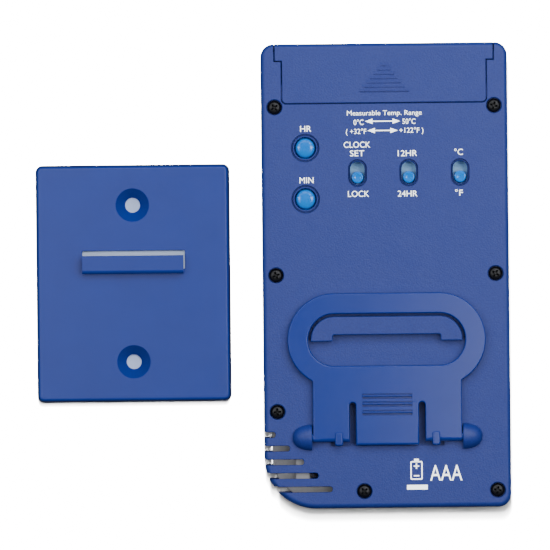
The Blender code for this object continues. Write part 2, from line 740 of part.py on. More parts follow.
def hinge_domes(cover):
    """Two half domes that carry the stand's pivots, with the pivot holes and swing pockets."""
    flat = NECK_HALF_WIDTH + GAP
    for side in (-1, 1):
        dome = ellipsoid(f"hinge_dome_{side}", (side * (flat - FLUSH), HINGE_Y, CASE_DEPTH - OVERLAP),
                         (DOME_LENGTH, DOME_HALF_WIDTH, DOME_HEIGHT + OVERLAP))
        near, far = sorted((side * flat, side * (flat - 2 * DOME_LENGTH)))
        inner_half = box(f"dome_inner_{side}",
                         (near, HINGE_Y - 2 * DOME_HALF_WIDTH, CASE_DEPTH - 2 * DOME_HEIGHT),
                         (far, HINGE_Y + 2 * DOME_HALF_WIDTH, CASE_DEPTH + 2 * DOME_HEIGHT))
        under = box(f"dome_under_{side}",
                    (side * flat - 2 * DOME_LENGTH, HINGE_Y - 2 * DOME_HALF_WIDTH,
                     CASE_DEPTH - 3 * DOME_HEIGHT),
                    (side * flat + 2 * DOME_LENGTH, HINGE_Y + 2 * DOME_HALF_WIDTH,
                     CASE_DEPTH - OVERLAP - FLUSH))
        cut(dome, inner_half, under)
        join(cover, dome)
        start, end = sorted((side * (flat - OVERSHOOT), side * (NECK_HALF_WIDTH + PIVOT_LENGTH + GAP)))
        hole = cylinder(f"pivot_hole_{side}", (HINGE_Y, HINGE_Z), PIVOT_RADIUS + RUN_GAP, start, end,
                        sides=16, axis="X")
        cut(cover, hole)
    reach = math.hypot(max(TONGUE_BELOW, LUG_BELOW), STAND_THICKNESS / 2) + SWING_CLEARANCE
    floor = HINGE_Z - reach
    half = math.sqrt(reach**2 - HINGE_HEIGHT**2)
    lugs = box("lug_swing", (-LUG_X - LUG_WIDTH, HINGE_Y - half, floor),
               (LUG_X + LUG_WIDTH, HINGE_Y + half, CASE_DEPTH + OVERSHOOT))
    tongue = box("tongue_pocket",
                 (-SPRING_POCKET_HALF, HINGE_Y - half + FLUSH, CASE_DEPTH - SPRING_POCKET_DEPTH),
                 (SPRING_POCKET_HALF, HINGE_Y + SLIT_LENGTH + SLIT_WIDTH,
                  CASE_DEPTH + 2 * OVERSHOOT))
    liner = box("tongue_liner",
                (-SPRING_POCKET_HALF - BAY_WALL, HINGE_Y - half - BAY_WALL,
                 SKIN_UNDER - SPRING_POCKET_DEPTH / 2),
                (SPRING_POCKET_HALF + BAY_WALL, HINGE_Y + SLIT_LENGTH + SLIT_WIDTH + BAY_WALL,
                 SKIN_UNDER + OVERLAP))
    neck_reach = math.hypot(NECK_BELOW, STAND_THICKNESS / 2) + SWING_CLEARANCE
    neck_half = math.sqrt(neck_reach**2 - HINGE_HEIGHT**2)
    neck_x = NECK_HALF_WIDTH + NECK_SIDE_GAP
    neck = box("neck_swing", (-neck_x, HINGE_Y - neck_half, HINGE_Z - neck_reach),
               (neck_x, HINGE_Y + neck_half, CASE_DEPTH + OVERSHOOT / 2))
    join(cover, liner)
    cut(cover, lugs, tongue, neck)


def cover_vents(cover):
    """Slots open at the side, each longer than the one above; their inner ends have round corners."""
    for index, (y, inner) in enumerate(vents()):
        length = inner + RIGHT + OVERSHOOT
        centre = (inner - length / 2, y)
        corners = (0, LEAST_CORNER, LEAST_CORNER, 0)
        outline = rounded(length, VENT_WIDTH, corners, centre, steps=3)
        slot = plate(f"vent_{index}", outline, COVER_RIM - OVERSHOOT, CASE_DEPTH + OVERSHOOT)
        cut(cover, slot)


def rear_cover():
    cover = cover_shell()
    cover_bosses(cover)
    battery_bay(cover)
    screw_recesses(cover)
    control_holes(cover)
    hanging_hood(cover)
    hinge_domes(cover)
    cover_vents(cover)
    return cover


# Front shell and display


def front_shell():
    shell = plate("front_shell", case_outline(), 0, FRONT_DEPTH, material=CASE_BLUE,
                  rims=((0, EDGE_ROUND),), steps=3)
    hollow = plate("shell_hollow", case_outline(WALL), FACE_SKIN, FRONT_DEPTH + OVERSHOOT)
    cut(shell, hollow)
    for index, place in enumerate(screw_places()):
        boss = cylinder(f"shell_boss_{index}", place, BOSS_RADIUS, FACE_SKIN - OVERLAP,
                        FRONT_DEPTH - FLUSH)
        pilot = cylinder(f"shell_pilot_{index}", place, SHANK_RADIUS + GAP,
                         SKIN_UNDER - CASE_SCREW_LENGTH - 2 * GAP, FRONT_DEPTH + OVERSHOOT, sides=12)
        join(shell, boss)
        cut(shell, pilot)
    for index, place in enumerate(post_places()):
        post = cylinder(f"board_post_{index}", place, POST_RADIUS, FACE_SKIN - OVERLAP,
                        BOARD_HEIGHT - GAP)
        pilot = cylinder(f"post_pilot_{index}", place, BOARD_SHANK_RADIUS + GAP, post_floor(),
                         FRONT_DEPTH, sides=12)
        join(shell, post)
        cut(shell, pilot)
    for index, place in enumerate(tray_post_places()):
        post = cylinder(f"tray_post_{index}", place, POST_RADIUS / 2, FACE_SKIN - OVERLAP,
                        TRAY_HEIGHT - GAP, sides=12)
        join(shell, post)
    window(shell)
    for index, x in enumerate(KEY_X):
        hole = plate(f"key_hole_{index}", key_outline(x, GAP), -OVERSHOOT, FACE_SKIN + OVERSHOOT)
        cut(shell, hole)
    for index, (y, _) in enumerate(vents()):
        slot = box(f"face_vent_{index}", (-RIGHT - OVERSHOOT, y - VENT_WIDTH / 2, -OVERSHOOT),
                   (-RIGHT + FACE_VENT_LENGTH, y + VENT_WIDTH / 2, FRONT_DEPTH + OVERSHOOT))
        cut(shell, slot)
    return shell


def post_floor():
    return BOARD_BACK + GAP - BOARD_SCREW_LENGTH - 2 * GAP


def tray_post_places():
    y = VENT_FIRST_Y - VENT_PITCH / 2
    left = -RIGHT + TRAY_SIDE + POST_INSET
    right = -RIGHT + TRAY_SIDE + TRAY_WIDTH - POST_INSET
    return [(left, y), (right, y - 3 * VENT_PITCH)]


def window(shell):
    """The display window, and round it the sunk seat of the lens."""
    width = LCD_WIDTH - 2 * LCD_BORDER
    length = LCD_LENGTH - 2 * LCD_BORDER
    centre = (0, LCD_Y)
    opening = plate("window_opening", rounded(width, length, LENS_CORNER / 2, centre, 3), -OVERSHOOT,
                    FACE_SKIN + OVERSHOOT)
    grow = 2 * LENS_LEDGE
    seat = plate("lens_seat", rounded(width + grow, length + grow, LENS_CORNER, centre, 4), -OVERSHOOT,
                 LENS_SUNK + LENS_THICKNESS + GAP)
    cut(shell, seat, opening)


def display_lens():
    width = LCD_WIDTH - 2 * LCD_BORDER + 2 * LENS_LEDGE - 2 * GAP
    length = LCD_LENGTH - 2 * LCD_BORDER + 2 * LENS_LEDGE - 2 * GAP
    place = (0, LCD_Y, LENS_SUNK)
    plate("display_lens", rounded(width, length, LENS_CORNER - GAP, (0, LCD_Y), 4), LENS_SUNK,
          LENS_SUNK + LENS_THICKNESS, material=LENS_CLEAR, place=place)


def lcd_panel():
    box("lcd_panel", (-LCD_WIDTH / 2, LCD_TOP - LCD_LENGTH, LCD_Z),
        (LCD_WIDTH / 2, LCD_TOP, LCD_Z + LCD_THICKNESS), LCD_GREY, (0, LCD_Y, LCD_Z))


def lcd_holder():
    """The frame round the display, which carries the board's middle screws."""
    half = LCD_WIDTH / 2 + GAP
    middle = ((HOLDER_TOP + HOLDER_LOW) / 2)
    outline = rounded(2 * (half + HOLDER_RAIL), HOLDER_TOP - HOLDER_LOW, BOARD_CORNER, (0, middle), 2)
    inner = rounded(2 * half, LCD_LENGTH + 2 * GAP, 0, (0, LCD_Y))
    holder = plate("lcd_holder", outline, LCD_Z, LCD_Z + HOLDER_HEIGHT, holes=[inner],
                   material=HOLDER_WHITE, place=(0, LCD_Y, LCD_Z))
    for index, place in enumerate(holder_screw_places()):
        pilot = cylinder(f"holder_pilot_{index}", place, BOARD_SHANK_RADIUS + GAP, post_floor(),
                         BOARD_BACK, sides=12)
        cut(holder, pilot)


def contact_strip():
    """The rubber strip that joins the display's edge to the board."""
    low = LCD_TOP - LCD_LENGTH + GAP
    height = LCD_Z + LCD_THICKNESS + GAP
    box("contact_strip", (-LCD_WIDTH / 2 + MM, low, height),
        (LCD_WIDTH / 2 - MM, low + STRIP_WIDTH, BOARD_HEIGHT - GAP), STRIP_RUBBER, (0, low, height))


# Board and what it carries


def main_board():
    centre = (0, (BOARD_TOP + BOARD_LOW) / 2)
    holes = [circle(BOARD_SHANK_RADIUS + GAP, place, 12)
             for place in (*holder_screw_places(), *post_places())]
    outline = rounded(2 * BOARD_HALF, BOARD_TOP - BOARD_LOW, BOARD_CORNER, centre, 2)
    plate("main_board", outline, BOARD_HEIGHT, BOARD_BACK, holes=holes, material=BOARD_GREEN,
          place=(0, 0, BOARD_HEIGHT))


def board_parts():
    x, y = BLOB_X, LCD_Y - BLOB_BELOW
    blob = ellipsoid("processor_blob", (x, y, TACT_Z - OVERLAP),
                     (BLOB_RADIUS, BLOB_RADIUS, BLOB_HEIGHT + OVERLAP), material=EPOXY_BLACK,
                     place=(x, y, TACT_Z))
    reach = 2 * BLOB_RADIUS
    under = box("blob_under", (x - reach, y - reach, TACT_Z - reach), (x + reach, y + reach, TACT_Z))
    cut(blob, under)
    x, y = CRYSTAL_X, HOLDER_LOW + CRYSTAL_ABOVE
    cylinder("crystal", (x, TACT_Z + CRYSTAL_RADIUS), CRYSTAL_RADIUS, y, y + CRYSTAL_LENGTH, 16, STEEL,
             (x, y, TACT_Z), axis="Y")
    for name, y in button_places().items():
        half = TACT_SIZE / 2
        top = TACT_Z + TACT_HEIGHT
        place = (BUTTON_X, y, TACT_Z)
        body = box(f"{name}_tact_switch", (BUTTON_X - half, y - half, TACT_Z),
                   (BUTTON_X + half, y + half, top), EPOXY_BLACK, place)
        radius, height = TACT_PLUNGER
        plunger = cylinder(f"{name}_tact_plunger", (BUTTON_X, y), radius, top - OVERLAP,
                           top + height, sides=16)
        join(body, plunger)


# Screws


def cross_screw(name, head_radius, head_height, shank_radius, length, sides=16):
    """A pan-head screw, its origin under the head, with a cross recess; returns its mesh."""
    dish = head_height * 0.35
    profile = [(0, head_height), (head_radius * 0.55, head_height * 0.93),
               (head_radius * 0.9, head_height - dish), (head_radius, head_height * 0.35),
               (head_radius, 0), (shank_radius, 0), (shank_radius, -length), (0, -length)]
    body = turned(f"{name}_body", profile, (0, 0, 0), sides)
    slot = head_radius * 0.18
    reach = head_radius * 0.62
    for turn in (0, 1):
        size = (reach, slot) if turn else (slot, reach)
        arm = box(f"{name}_arm_{turn}", (-size[0], -size[1], head_height * 0.45),
                  (size[0], size[1], head_height + OVERSHOOT))
        cut(body, arm)
    bpy.context.view_layer.update()
    evaluated = body.evaluated_get(bpy.context.evaluated_depsgraph_get())
    mesh = bpy.data.meshes.new_from_object(evaluated)
    mesh.name = name
    mesh.materials.clear()
    mesh.materials.append(SCREW_BLACK if name == "case_screw" else STEEL)
    return mesh


def place_screws(name, mesh, places, height):
    for index, (x, y) in enumerate(places, 1):
        made = bpy.data.objects.new(f"{name}_{index}", mesh)
        made.location = (x, y, height)
        PARTS.objects.link(made)


def screws():
    case_screw = cross_screw("case_screw", HEAD_RADIUS, HEAD_HEIGHT, SHANK_RADIUS,
                             CASE_SCREW_LENGTH)
    head_low = CASE_DEPTH - HEAD_SUNK - HEAD_HEIGHT
    place_screws("case_screw", case_screw, screw_places(), head_low)
    board_screw = cross_screw("board_screw", BOARD_HEAD_RADIUS, BOARD_HEAD_HEIGHT,
                              BOARD_SHANK_RADIUS, BOARD_SCREW_LENGTH, 12)
    places = [*holder_screw_places(), *post_places()]
    place_screws("board_screw", board_screw, places, BOARD_BACK + GAP)


# Battery


def battery():
    nub_length, nub_radius = CELL_NUB
    end = CELL_LEFT + CELL_LENGTH
    cell = cylinder("battery", (CELL_Y, CELL_Z), CELL_RADIUS, CELL_LEFT, end - nub_length, 24,
                    CELL_SLEEVE, (CELL_LEFT + CELL_LENGTH / 2, CELL_Y, CELL_Z), axis="X")
    nub = cylinder("battery_nub", (CELL_Y, CELL_Z), nub_radius, end - nub_length - OVERLAP, end, 16,
                   axis="X")
    join(cell, nub)


def battery_contacts():
    """Flat contacts at the bay's ends, each with a tab that leaves through the bay's lower wall."""
    outer = BAY_HALF - GAP
    inner = outer - CONTACT_THICKNESS
    low, high = BAY_FLOOR + 2 * GAP, DOOR_UNDER - 4 * GAP
    near, far = BAY_LOW + 2 * GAP, BAY_TOP - 2 * GAP
    tab_end = BAY_LOW - BAY_WALL - 2 * GAP
    tab_low, tab_high = BAY_FLOOR + CONTACT_TAB_UP, CELL_Z + CONTACT_TAB_OVER
    outline = [(near, low), (far, low), (far, high), (near, high), (near, tab_high),
               (tab_end, tab_high), (tab_end, tab_low), (near, tab_low)]
    for name, side in (("negative", -1), ("positive", 1)):
        start, end = sorted((side * inner, side * outer))
        across(f"{name}_contact", outline, start, end, STEEL, (side * outer, CELL_Y, CELL_Z))
    battery_spring(-inner + GAP)


def battery_spring(start):
    """A conical coil between the negative contact and the cell."""
    steps = 30
    wide, narrow = SPRING_RADII
    points = []
    for step in range(steps + 1):
        share = step / steps
        angle = 2 * math.pi * SPRING_TURNS * share
        radius = wide + (narrow - wide) * share
        x = start + SPRING_WIRE + share * (SPRING_LENGTH - GAP - 2 * SPRING_WIRE)
        points.append((x, CELL_Y + radius * math.cos(angle), CELL_Z + radius * math.sin(angle)))
    wire("battery_spring", points, SPRING_WIRE, STEEL, (start, CELL_Y, CELL_Z), smooth=1)


def battery_wires():
    """Wires from the contacts' tabs down to the board; they end beside the upper button's switch."""
    pad = BOARD_BACK + GAP + WIRE_RADIUS
    start_y = BAY_LOW - BAY_WALL - 3 * GAP - WIRE_RADIUS
    end_y = button_places()["hr"] + TACT_SIZE / 2 + GAP + WIRE_RADIUS
    run = start_y - end_y
    for name, side, material in (("red_wire", 1, WIRE_RED), ("black_wire", -1, WIRE_BLACK)):
        x = side * (BAY_HALF - GAP - CONTACT_THICKNESS / 2)
        bend_x = x - side * WIRE_SWAY
        points = [(x, start_y, CELL_Z + 2 * WIRE_RADIUS), (x, start_y - 0.2 * run, CELL_Z + WIRE_RADIUS),
                  (bend_x, start_y - 0.6 * run, pad + 2 * WIRE_RADIUS), (bend_x, end_y, pad)]
        wire(name, points, WIRE_RADIUS, material, (x, start_y, CELL_Z), smooth=4)


def battery_door():
    """A sliding lid whose far end turns down over the case's end."""
    door = plate("battery_door", door_outline(), CASE_DEPTH - SKIRT_DEPTH, CASE_DEPTH,
                 material=CASE_BLUE, place=(0, DOOR_LOW, CASE_DEPTH))
    under = box("door_under", (-CASE_WIDTH, DOOR_LOW - OVERSHOOT, 0),
                (CASE_WIDTH, SKIRT_INSIDE, DOOR_UNDER))
    cut(door, under)
    for side in (-1, 1):
        near, far = sorted((side * (DOOR_NARROW_HALF - OVERLAP), side * (DOOR_NARROW_HALF + TAB_REACH)))
        low = DOOR_LOW + 4 * GAP
        tab_low = DOOR_UNDER + OVERLAP
        tab = box(f"door_tab_{side}", (near, low, tab_low),
                  (far, low + TAB_LENGTH, tab_low + TAB_HEIGHT))
        join(door, tab)
    cut(door, across("door_edge", edge_outline(), -CASE_WIDTH, CASE_WIDTH))
    for index in range(GRIP_LINES):
        share = (GRIP_LINES - 1 - index) / (GRIP_LINES - 1)
        half = max(GRIP_HALF_BASE * share, GRIP_LINE)
        y = DOOR_LOW + GRIP_BASE_UP + index * GRIP_PITCH
        line = box(f"grip_line_{index}", (-half, y - GRIP_LINE / 2, CASE_DEPTH - GRIP_DEPTH),
                   (half, y + GRIP_LINE / 2, CASE_DEPTH + OVERSHOOT))
        cut(door, line)


def edge_outline():
    """What the door's rounded end loses, as (y, z). The arc stops just short of both faces."""
    centre = (TOP - EDGE_ROUND, CASE_DEPTH - EDGE_ROUND)
    curve = arc(centre, EDGE_ROUND, 4, 86, 3)
    far_y, far_z = TOP + OVERSHOOT, CASE_DEPTH + OVERSHOOT
    return [(far_y, curve[0][1]), (far_y, far_z), (curve[-1][0], far_z), *reversed(curve)]


# Stand


def stand_outline():
    """The ring and its neck, with a tongue between two slits that are open at the lower edge."""
    radius = RING_HALF_HEIGHT
    centre_x = RING_HALF_WIDTH - RING_HALF_HEIGHT
    drop = math.degrees(math.acos(min(1, (NECK_HALF_WIDTH - centre_x) / radius)))
    right = arc((centre_x, RING_Y), radius, -drop, 90, 12)
    left = arc((-centre_x, RING_Y), radius, 90, 180 + drop, 12)
    low = HINGE_Y - NECK_BELOW
    slit_x = TONGUE_HALF_WIDTH + SLIT_WIDTH / 2
    slit_top = HINGE_Y + SLIT_LENGTH - SLIT_WIDTH / 2
    tongue_low = HINGE_Y - TONGUE_BELOW
    left_slit = arc((-slit_x, slit_top), SLIT_WIDTH / 2, 180, 0, 4)
    right_slit = arc((slit_x, slit_top), SLIT_WIDTH / 2, 180, 0, 4)
    return [(-NECK_HALF_WIDTH, low), (-slit_x - SLIT_WIDTH / 2, low), *left_slit,
            (-TONGUE_HALF_WIDTH, tongue_low), (TONGUE_HALF_WIDTH, tongue_low), *right_slit,
            (slit_x + SLIT_WIDTH / 2, low), (NECK_HALF_WIDTH, low), *right, *left]


def stand():
    low = HINGE_Z - STAND_THICKNESS / 2
    high = HINGE_Z + STAND_THICKNESS / 2
    hole = rounded(2 * WINDOW_HALF_WIDTH, 2 * WINDOW_HALF_HEIGHT, WINDOW_HALF_HEIGHT, (0, RING_Y), 8)
    body = plate("stand", stand_outline(), low, high, holes=[hole], material=STAND_BLUE,
                 place=(0, HINGE_Y, HINGE_Z))
    for side in (-1, 1):
        lug = box(f"stand_lug_{side}", (side * LUG_X - LUG_WIDTH / 2, HINGE_Y - LUG_BELOW, low + GAP),
                  (side * LUG_X + LUG_WIDTH / 2, HINGE_Y + LUG_ABOVE, high + RIB_HEIGHT))
        start, end = sorted((side * (NECK_HALF_WIDTH - OVERSHOOT),
                             side * (NECK_HALF_WIDTH + PIVOT_LENGTH)))
        pivot = cylinder(f"stand_pivot_{side}", (HINGE_Y, HINGE_Z), PIVOT_RADIUS, start, end,
                         sides=16, axis="X")
        join(body, lug, pivot)
    for index, up in enumerate(RIB_PLACES):
        y = HINGE_Y + up
        rib = box(f"stand_rib_{index}", (-RIB_HALF_WIDTH, y - RIB_WIDTH / 2, high - OVERLAP),
                  (RIB_HALF_WIDTH, y + RIB_WIDTH / 2, high + RIB_HEIGHT))
        join(body, rib)


# Buttons and switches


def rear_buttons():
    """Sprung caps: a domed head in the cover's hole over a flange that keeps it in."""
    shoulder = SKIN_UNDER - GAP
    bottom = TACT_Z + TACT_HEIGHT + TACT_PLUNGER[1] + BUTTON_TRAVEL + GAP
    head = CASE_DEPTH + BUTTON_PROUD - BUTTON_DOME
    for name, y in button_places().items():
        dome = [(BUTTON_RADIUS * math.sin(angle), head + BUTTON_DOME * math.cos(angle))
                for angle in (math.radians(15 * step) for step in range(7))]
        flange = BUTTON_RADIUS + BUTTON_FLANGE
        profile = [*dome, (BUTTON_RADIUS, shoulder), (flange, shoulder),
                   (flange, shoulder - FLANGE_THICKNESS),
                   (BUTTON_STEM, shoulder - FLANGE_THICKNESS), (BUTTON_STEM, bottom),
                   (0, bottom)]
        heights = [(radius, height - CASE_DEPTH) for radius, height in profile]
        turned(f"{name}_button", heights, (BUTTON_X, y, CASE_DEPTH), 24, BUTTON_BLUE)


def sliders():
    """Knobs on wide plates that close their slots from inside, each over a sprung wiper."""
    top = SKIN_UNDER - GAP
    rest_y = SWITCH_Y - SWITCH_TRAVEL / 2
    foot_low = BOARD_BACK + GAP + WIPER_HEIGHT + GAP
    half_length = SLOT_LENGTH / 2 + SWITCH_TRAVEL / 2 + 2 * GAP
    for name, x in zip(("clock", "hour", "unit"), SWITCH_X):
        place = (x, rest_y, SKIN_UNDER)
        slider = box(f"{name}_slider", (x - SLIDER_WIDTH / 2, rest_y - half_length, top - SLIDER_THICKNESS),
                     (x + SLIDER_WIDTH / 2, rest_y + half_length, top), BUTTON_BLUE, place)
        knob = cylinder(f"{name}_knob", (x, rest_y), KNOB_RADIUS, top - OVERLAP,
                        CASE_DEPTH - GAP, sides=20)
        foot_x, foot_y = SLIDER_FOOT
        foot = box(f"{name}_foot", (x - foot_x / 2, rest_y - foot_y / 2, foot_low),
                   (x + foot_x / 2, rest_y + foot_y / 2, top - SLIDER_THICKNESS + OVERLAP))
        join(slider, knob, foot)
        wiper(name, x, rest_y)


def wiper(name, x, y):
    """A strip bent into a shallow arch, its two feet on the board."""
    low = BOARD_BACK + GAP
    length = SLIDER_FOOT[1] - 2 * WIPER_MARGIN
    steps = 8
    arch = [(length * (step / steps - 0.5), WIPER_HEIGHT * math.sin(math.pi * step / steps))
            for step in range(steps + 1)]
    upper = [(along, low + WIPER_THICKNESS + rise * (1 - WIPER_THICKNESS / WIPER_HEIGHT))
             for along, rise in arch]
    lower = [(along, low + rise * (1 - WIPER_THICKNESS / WIPER_HEIGHT)) for along, rise in arch]
    outline = [(y + along, height) for along, height in [*lower, *reversed(upper)]]
    half = SLIDER_FOOT[0] / 2 - WIPER_MARGIN
    across(f"{name}_wiper", outline, x - half, x + half, BRASS, (x, y, low))


def key_outline(x, grow=0.0):
    width, height = KEY_SIZE
    radius = height / 2 + grow
    return rounded(width + 2 * grow, height + 2 * grow, radius, (x, KEY_Y), 5)


def front_keys():
    """Three keys flush behind the face, over one rubber keypad."""
    flange_low = FACE_SKIN + GAP
    flange_high = flange_low + FLANGE_THICKNESS
    stem_high = KEYPAD_Z - KEY_TRAVEL - GAP
    for name, x in zip(("left", "middle", "right"), KEY_X):
        key = plate(f"{name}_front_key", key_outline(x), KEY_SUNK, flange_low + OVERLAP,
                    material=BUTTON_BLUE, place=(x, KEY_Y, KEY_SUNK))
        flange = plate(f"{name}_key_flange", key_outline(x, KEY_FLANGE), flange_low, flange_high)
        stem = cylinder(f"{name}_key_stem", (x, KEY_Y), KEY_STEM_RADIUS, flange_high - OVERLAP,
                        stem_high, sides=16)
        join(key, flange, stem)
    half = KEY_X[-1] + KEY_SIZE[0] / 2 + KEYPAD_BORDER
    height = KEY_SIZE[1] + 2 * KEYPAD_BORDER
    plate("front_keypad", rounded(2 * half, height, KEYPAD_CORNER, (0, KEY_Y), 3), KEYPAD_Z,
          KEYPAD_Z + KEYPAD_THICKNESS, material=RUBBER_GREY, place=(0, KEY_Y, KEYPAD_Z))


# Sensor


def sensor_tray():
    """The pale tray under the vents that holds the sensor in the moving air."""
    left = -RIGHT + TRAY_SIDE
    low = -TOP + WALL + 2 * GAP
    high = BOARD_LOW + MM
    centre = (left + TRAY_WIDTH / 2, (low + high) / 2)
    outline = rounded(TRAY_WIDTH, high - low, TRAY_CORNERS, centre, 5)
    tray = plate("sensor_tray", outline, TRAY_HEIGHT, TRAY_HEIGHT + TRAY_THICKNESS,
                 material=TRAY_GREY, place=(*centre, TRAY_HEIGHT))
    y = VENT_FIRST_Y - 2.5 * VENT_PITCH
    rib = box("tray_rib", (-RIGHT + TRAY_RIB_X[0], y - VENT_PITCH, TRAY_HEIGHT + OVERLAP),
              (-RIGHT + TRAY_RIB_X[1], y + VENT_PITCH,
               TRAY_HEIGHT + TRAY_THICKNESS + TRAY_RIB_HEIGHT))
    join(tray, rib)


def temperature_sensor():
    """A bead at the end of the fourth vent, on two leads from the board."""
    y, inner = vents()[3]
    x = inner - BEAD_INSET
    bead = ellipsoid("temperature_sensor", (x, y, BEAD_Z), (BEAD_RADIUS * 1.5, BEAD_RADIUS, BEAD_RADIUS),
                     12, 8, STEEL, (x, y, BEAD_Z))
    end = x + 4 * LEAD_SPREAD
    landing = BOARD_LOW + LEAD_RUN
    for index, offset in enumerate((-LEAD_SPREAD, LEAD_SPREAD)):
        points = [(x + offset, y, BEAD_Z), (x + offset + 2 * LEAD_SPREAD, y + 0.8 * LEAD_RUN, BEAD_Z),
                  (end + 2 * offset, landing - 0.6 * LEAD_RUN, BEAD_Z - LEAD_SPREAD / 2),
                  (end + 2 * offset, landing, BOARD_BACK + GAP + LEAD_RADIUS)]
        join(bead, wire(f"sensor_lead_{index}", points, LEAD_RADIUS, smooth=3))


# Wall bracket


def wall_bracket():
    """A hollow plate with two countersunk bosses and a hook that the case's hood drops over."""
    width, height = BRACKET_SIZE
    x, y = BRACKET_X, -BRACKET_DOWN
    face = BRACKET_DEPTH
    inside = face - BRACKET_FACE
    window_low = HOOK_LOW + HOOK_SHELF - GAP
    window = rounded(2 * HOOK_WINDOW_HALF, HOOK_WINDOW_TOP - window_low, 0,
                     (x, y + (HOOK_WINDOW_TOP + window_low) / 2))
    bracket = plate("wall_bracket", rounded(width, height, BRACKET_CORNER, (x, y), 4), 0, face,
                    material=STAND_BLUE, place=(x, y, 0), rims=((face, BRACKET_EDGE),), steps=2)
    hollow = rounded(width - 2 * BRACKET_WALL, height - 2 * BRACKET_WALL, 0, (x, y))
    cut(bracket, plate("bracket_hollow", hollow, -OVERSHOOT, inside))
    cut(bracket, plate("bracket_window", window, inside - OVERSHOOT, face + OVERSHOOT))
    low, shelf_high = y + HOOK_LOW, y + HOOK_LOW + HOOK_SHELF
    high = y + HOOK_LOW + HOOK_HEIGHT
    flange_low = face + HOOK_CLEARANCE
    flange_high = flange_low + HOOK_FLANGE
    profile = [(low, face - OVERLAP), (shelf_high, face - OVERLAP), (shelf_high, flange_low),
               (high, flange_low), (high, flange_high), (low, flange_high)]
    join(bracket, across("hook", profile, x - HOOK_WIDTH / 2, x + HOOK_WIDTH / 2))
    for side in (-1, 1):
        centre = (x, y + side * WALL_HOLE_UP)
        boss = cylinder(f"wall_boss_{side}", centre, WALL_BOSS_RADIUS, FLUSH, inside + OVERLAP,
                        sides=24)
        join(bracket, boss)
        hole = cylinder(f"wall_hole_{side}", centre, WALL_HOLE_RADIUS, -OVERSHOOT,
                        face + OVERSHOOT, sides=24)
        depth = WALL_SINK_RADIUS - WALL_HOLE_RADIUS
        sink = cylinder(f"wall_sink_{side}", centre, WALL_HOLE_RADIUS, face - depth, face + OVERLAP,
                        sides=24, top_radius=WALL_SINK_RADIUS + OVERLAP)
        cut(bracket, hole, sink)


def centre_on_footprint():
    left = BRACKET_X - BRACKET_SIZE[0] / 2
    footprint = bpy.data.objects.new("footprint", None)
    footprint.location.x = -(left + RIGHT) / 2
    PARTS.objects.link(footprint)
    for item in (*PARTS.objects, *CUTTERS.objects):
        if item is not footprint:
            item.parent = footprint


def smooth_round_pieces():
    for item in PARTS.objects:
        if item.type != "MESH":
            continue
        item.data.shade_smooth()
        item.data.set_sharp_from_angle(angle=math.radians(35))


rear_cover()
front_shell()
display_lens()
lcd_panel()
lcd_holder()
contact_strip()
main_board()
board_parts()
screws()
battery()
battery_contacts()
battery_wires()
battery_door()
stand()
rear_buttons()
sliders()
front_keys()
sensor_tray()
temperature_sensor()
wall_bracket()
centre_on_footprint()
smooth_round_pieces()
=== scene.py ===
"""Looks of the maximum minimum thermometer and its wall bracket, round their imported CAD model.

Everything is in metres. Shapes are made about the middle of the case and carried to the model's
frame when they are finished.
"""

import json
from math import acos, cos, degrees, dist, hypot, pi, radians, sin, sqrt, tan

import bmesh
import bpy
from mathutils import Matrix, Vector


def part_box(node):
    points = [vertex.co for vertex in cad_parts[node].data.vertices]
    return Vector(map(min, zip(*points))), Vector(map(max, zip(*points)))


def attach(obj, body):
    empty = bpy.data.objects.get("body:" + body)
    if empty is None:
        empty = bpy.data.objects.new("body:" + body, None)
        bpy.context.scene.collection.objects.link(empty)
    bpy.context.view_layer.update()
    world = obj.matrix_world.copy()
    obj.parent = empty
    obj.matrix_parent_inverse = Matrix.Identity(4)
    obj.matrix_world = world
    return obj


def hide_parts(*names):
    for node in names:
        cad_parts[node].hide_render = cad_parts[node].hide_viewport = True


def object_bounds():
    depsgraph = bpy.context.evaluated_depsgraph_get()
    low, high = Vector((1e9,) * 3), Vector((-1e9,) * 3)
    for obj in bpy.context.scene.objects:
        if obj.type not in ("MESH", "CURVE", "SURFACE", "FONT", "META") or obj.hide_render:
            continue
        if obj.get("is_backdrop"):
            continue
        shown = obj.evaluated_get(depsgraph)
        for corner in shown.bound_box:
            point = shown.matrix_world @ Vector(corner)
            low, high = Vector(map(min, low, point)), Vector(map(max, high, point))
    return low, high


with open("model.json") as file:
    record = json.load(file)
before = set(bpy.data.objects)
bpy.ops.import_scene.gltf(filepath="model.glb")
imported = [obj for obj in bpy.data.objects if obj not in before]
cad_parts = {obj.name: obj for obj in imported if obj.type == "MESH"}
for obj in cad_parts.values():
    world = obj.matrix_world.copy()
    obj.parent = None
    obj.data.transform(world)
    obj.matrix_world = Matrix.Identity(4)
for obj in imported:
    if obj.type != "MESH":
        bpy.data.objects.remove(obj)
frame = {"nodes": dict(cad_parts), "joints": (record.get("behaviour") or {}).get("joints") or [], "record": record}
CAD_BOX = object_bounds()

MM = 0.001
LIP = 0.3 * MM  # how far a cutter stands out of what it cuts
SINK = 0.2 * MM  # how far joined shapes run into each other
SLACK = 0.3 * MM  # between pieces that touch

# Places taken from the CAD model
COVER_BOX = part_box("rear_cover")
SHELL_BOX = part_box("front_shell")
CASE_X = (COVER_BOX[0].x + COVER_BOX[1].x) / 2
TOP = (COVER_BOX[1].y - COVER_BOX[0].y) / 2
RIGHT = (COVER_BOX[1].x - COVER_BOX[0].x) / 2
TO_FRAME = Matrix.Translation((CASE_X, 0, 0))


def spot(node):
    """The middle, lowest and highest corner of a CAD node, from the middle of the case."""
    low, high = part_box(node)
    shift = Vector((CASE_X, 0, 0))
    return (low + high) / 2 - shift, low - shift, high - shift


def joint_of(name):
    return next(joint for joint in frame["joints"] if joint["name"] == name)


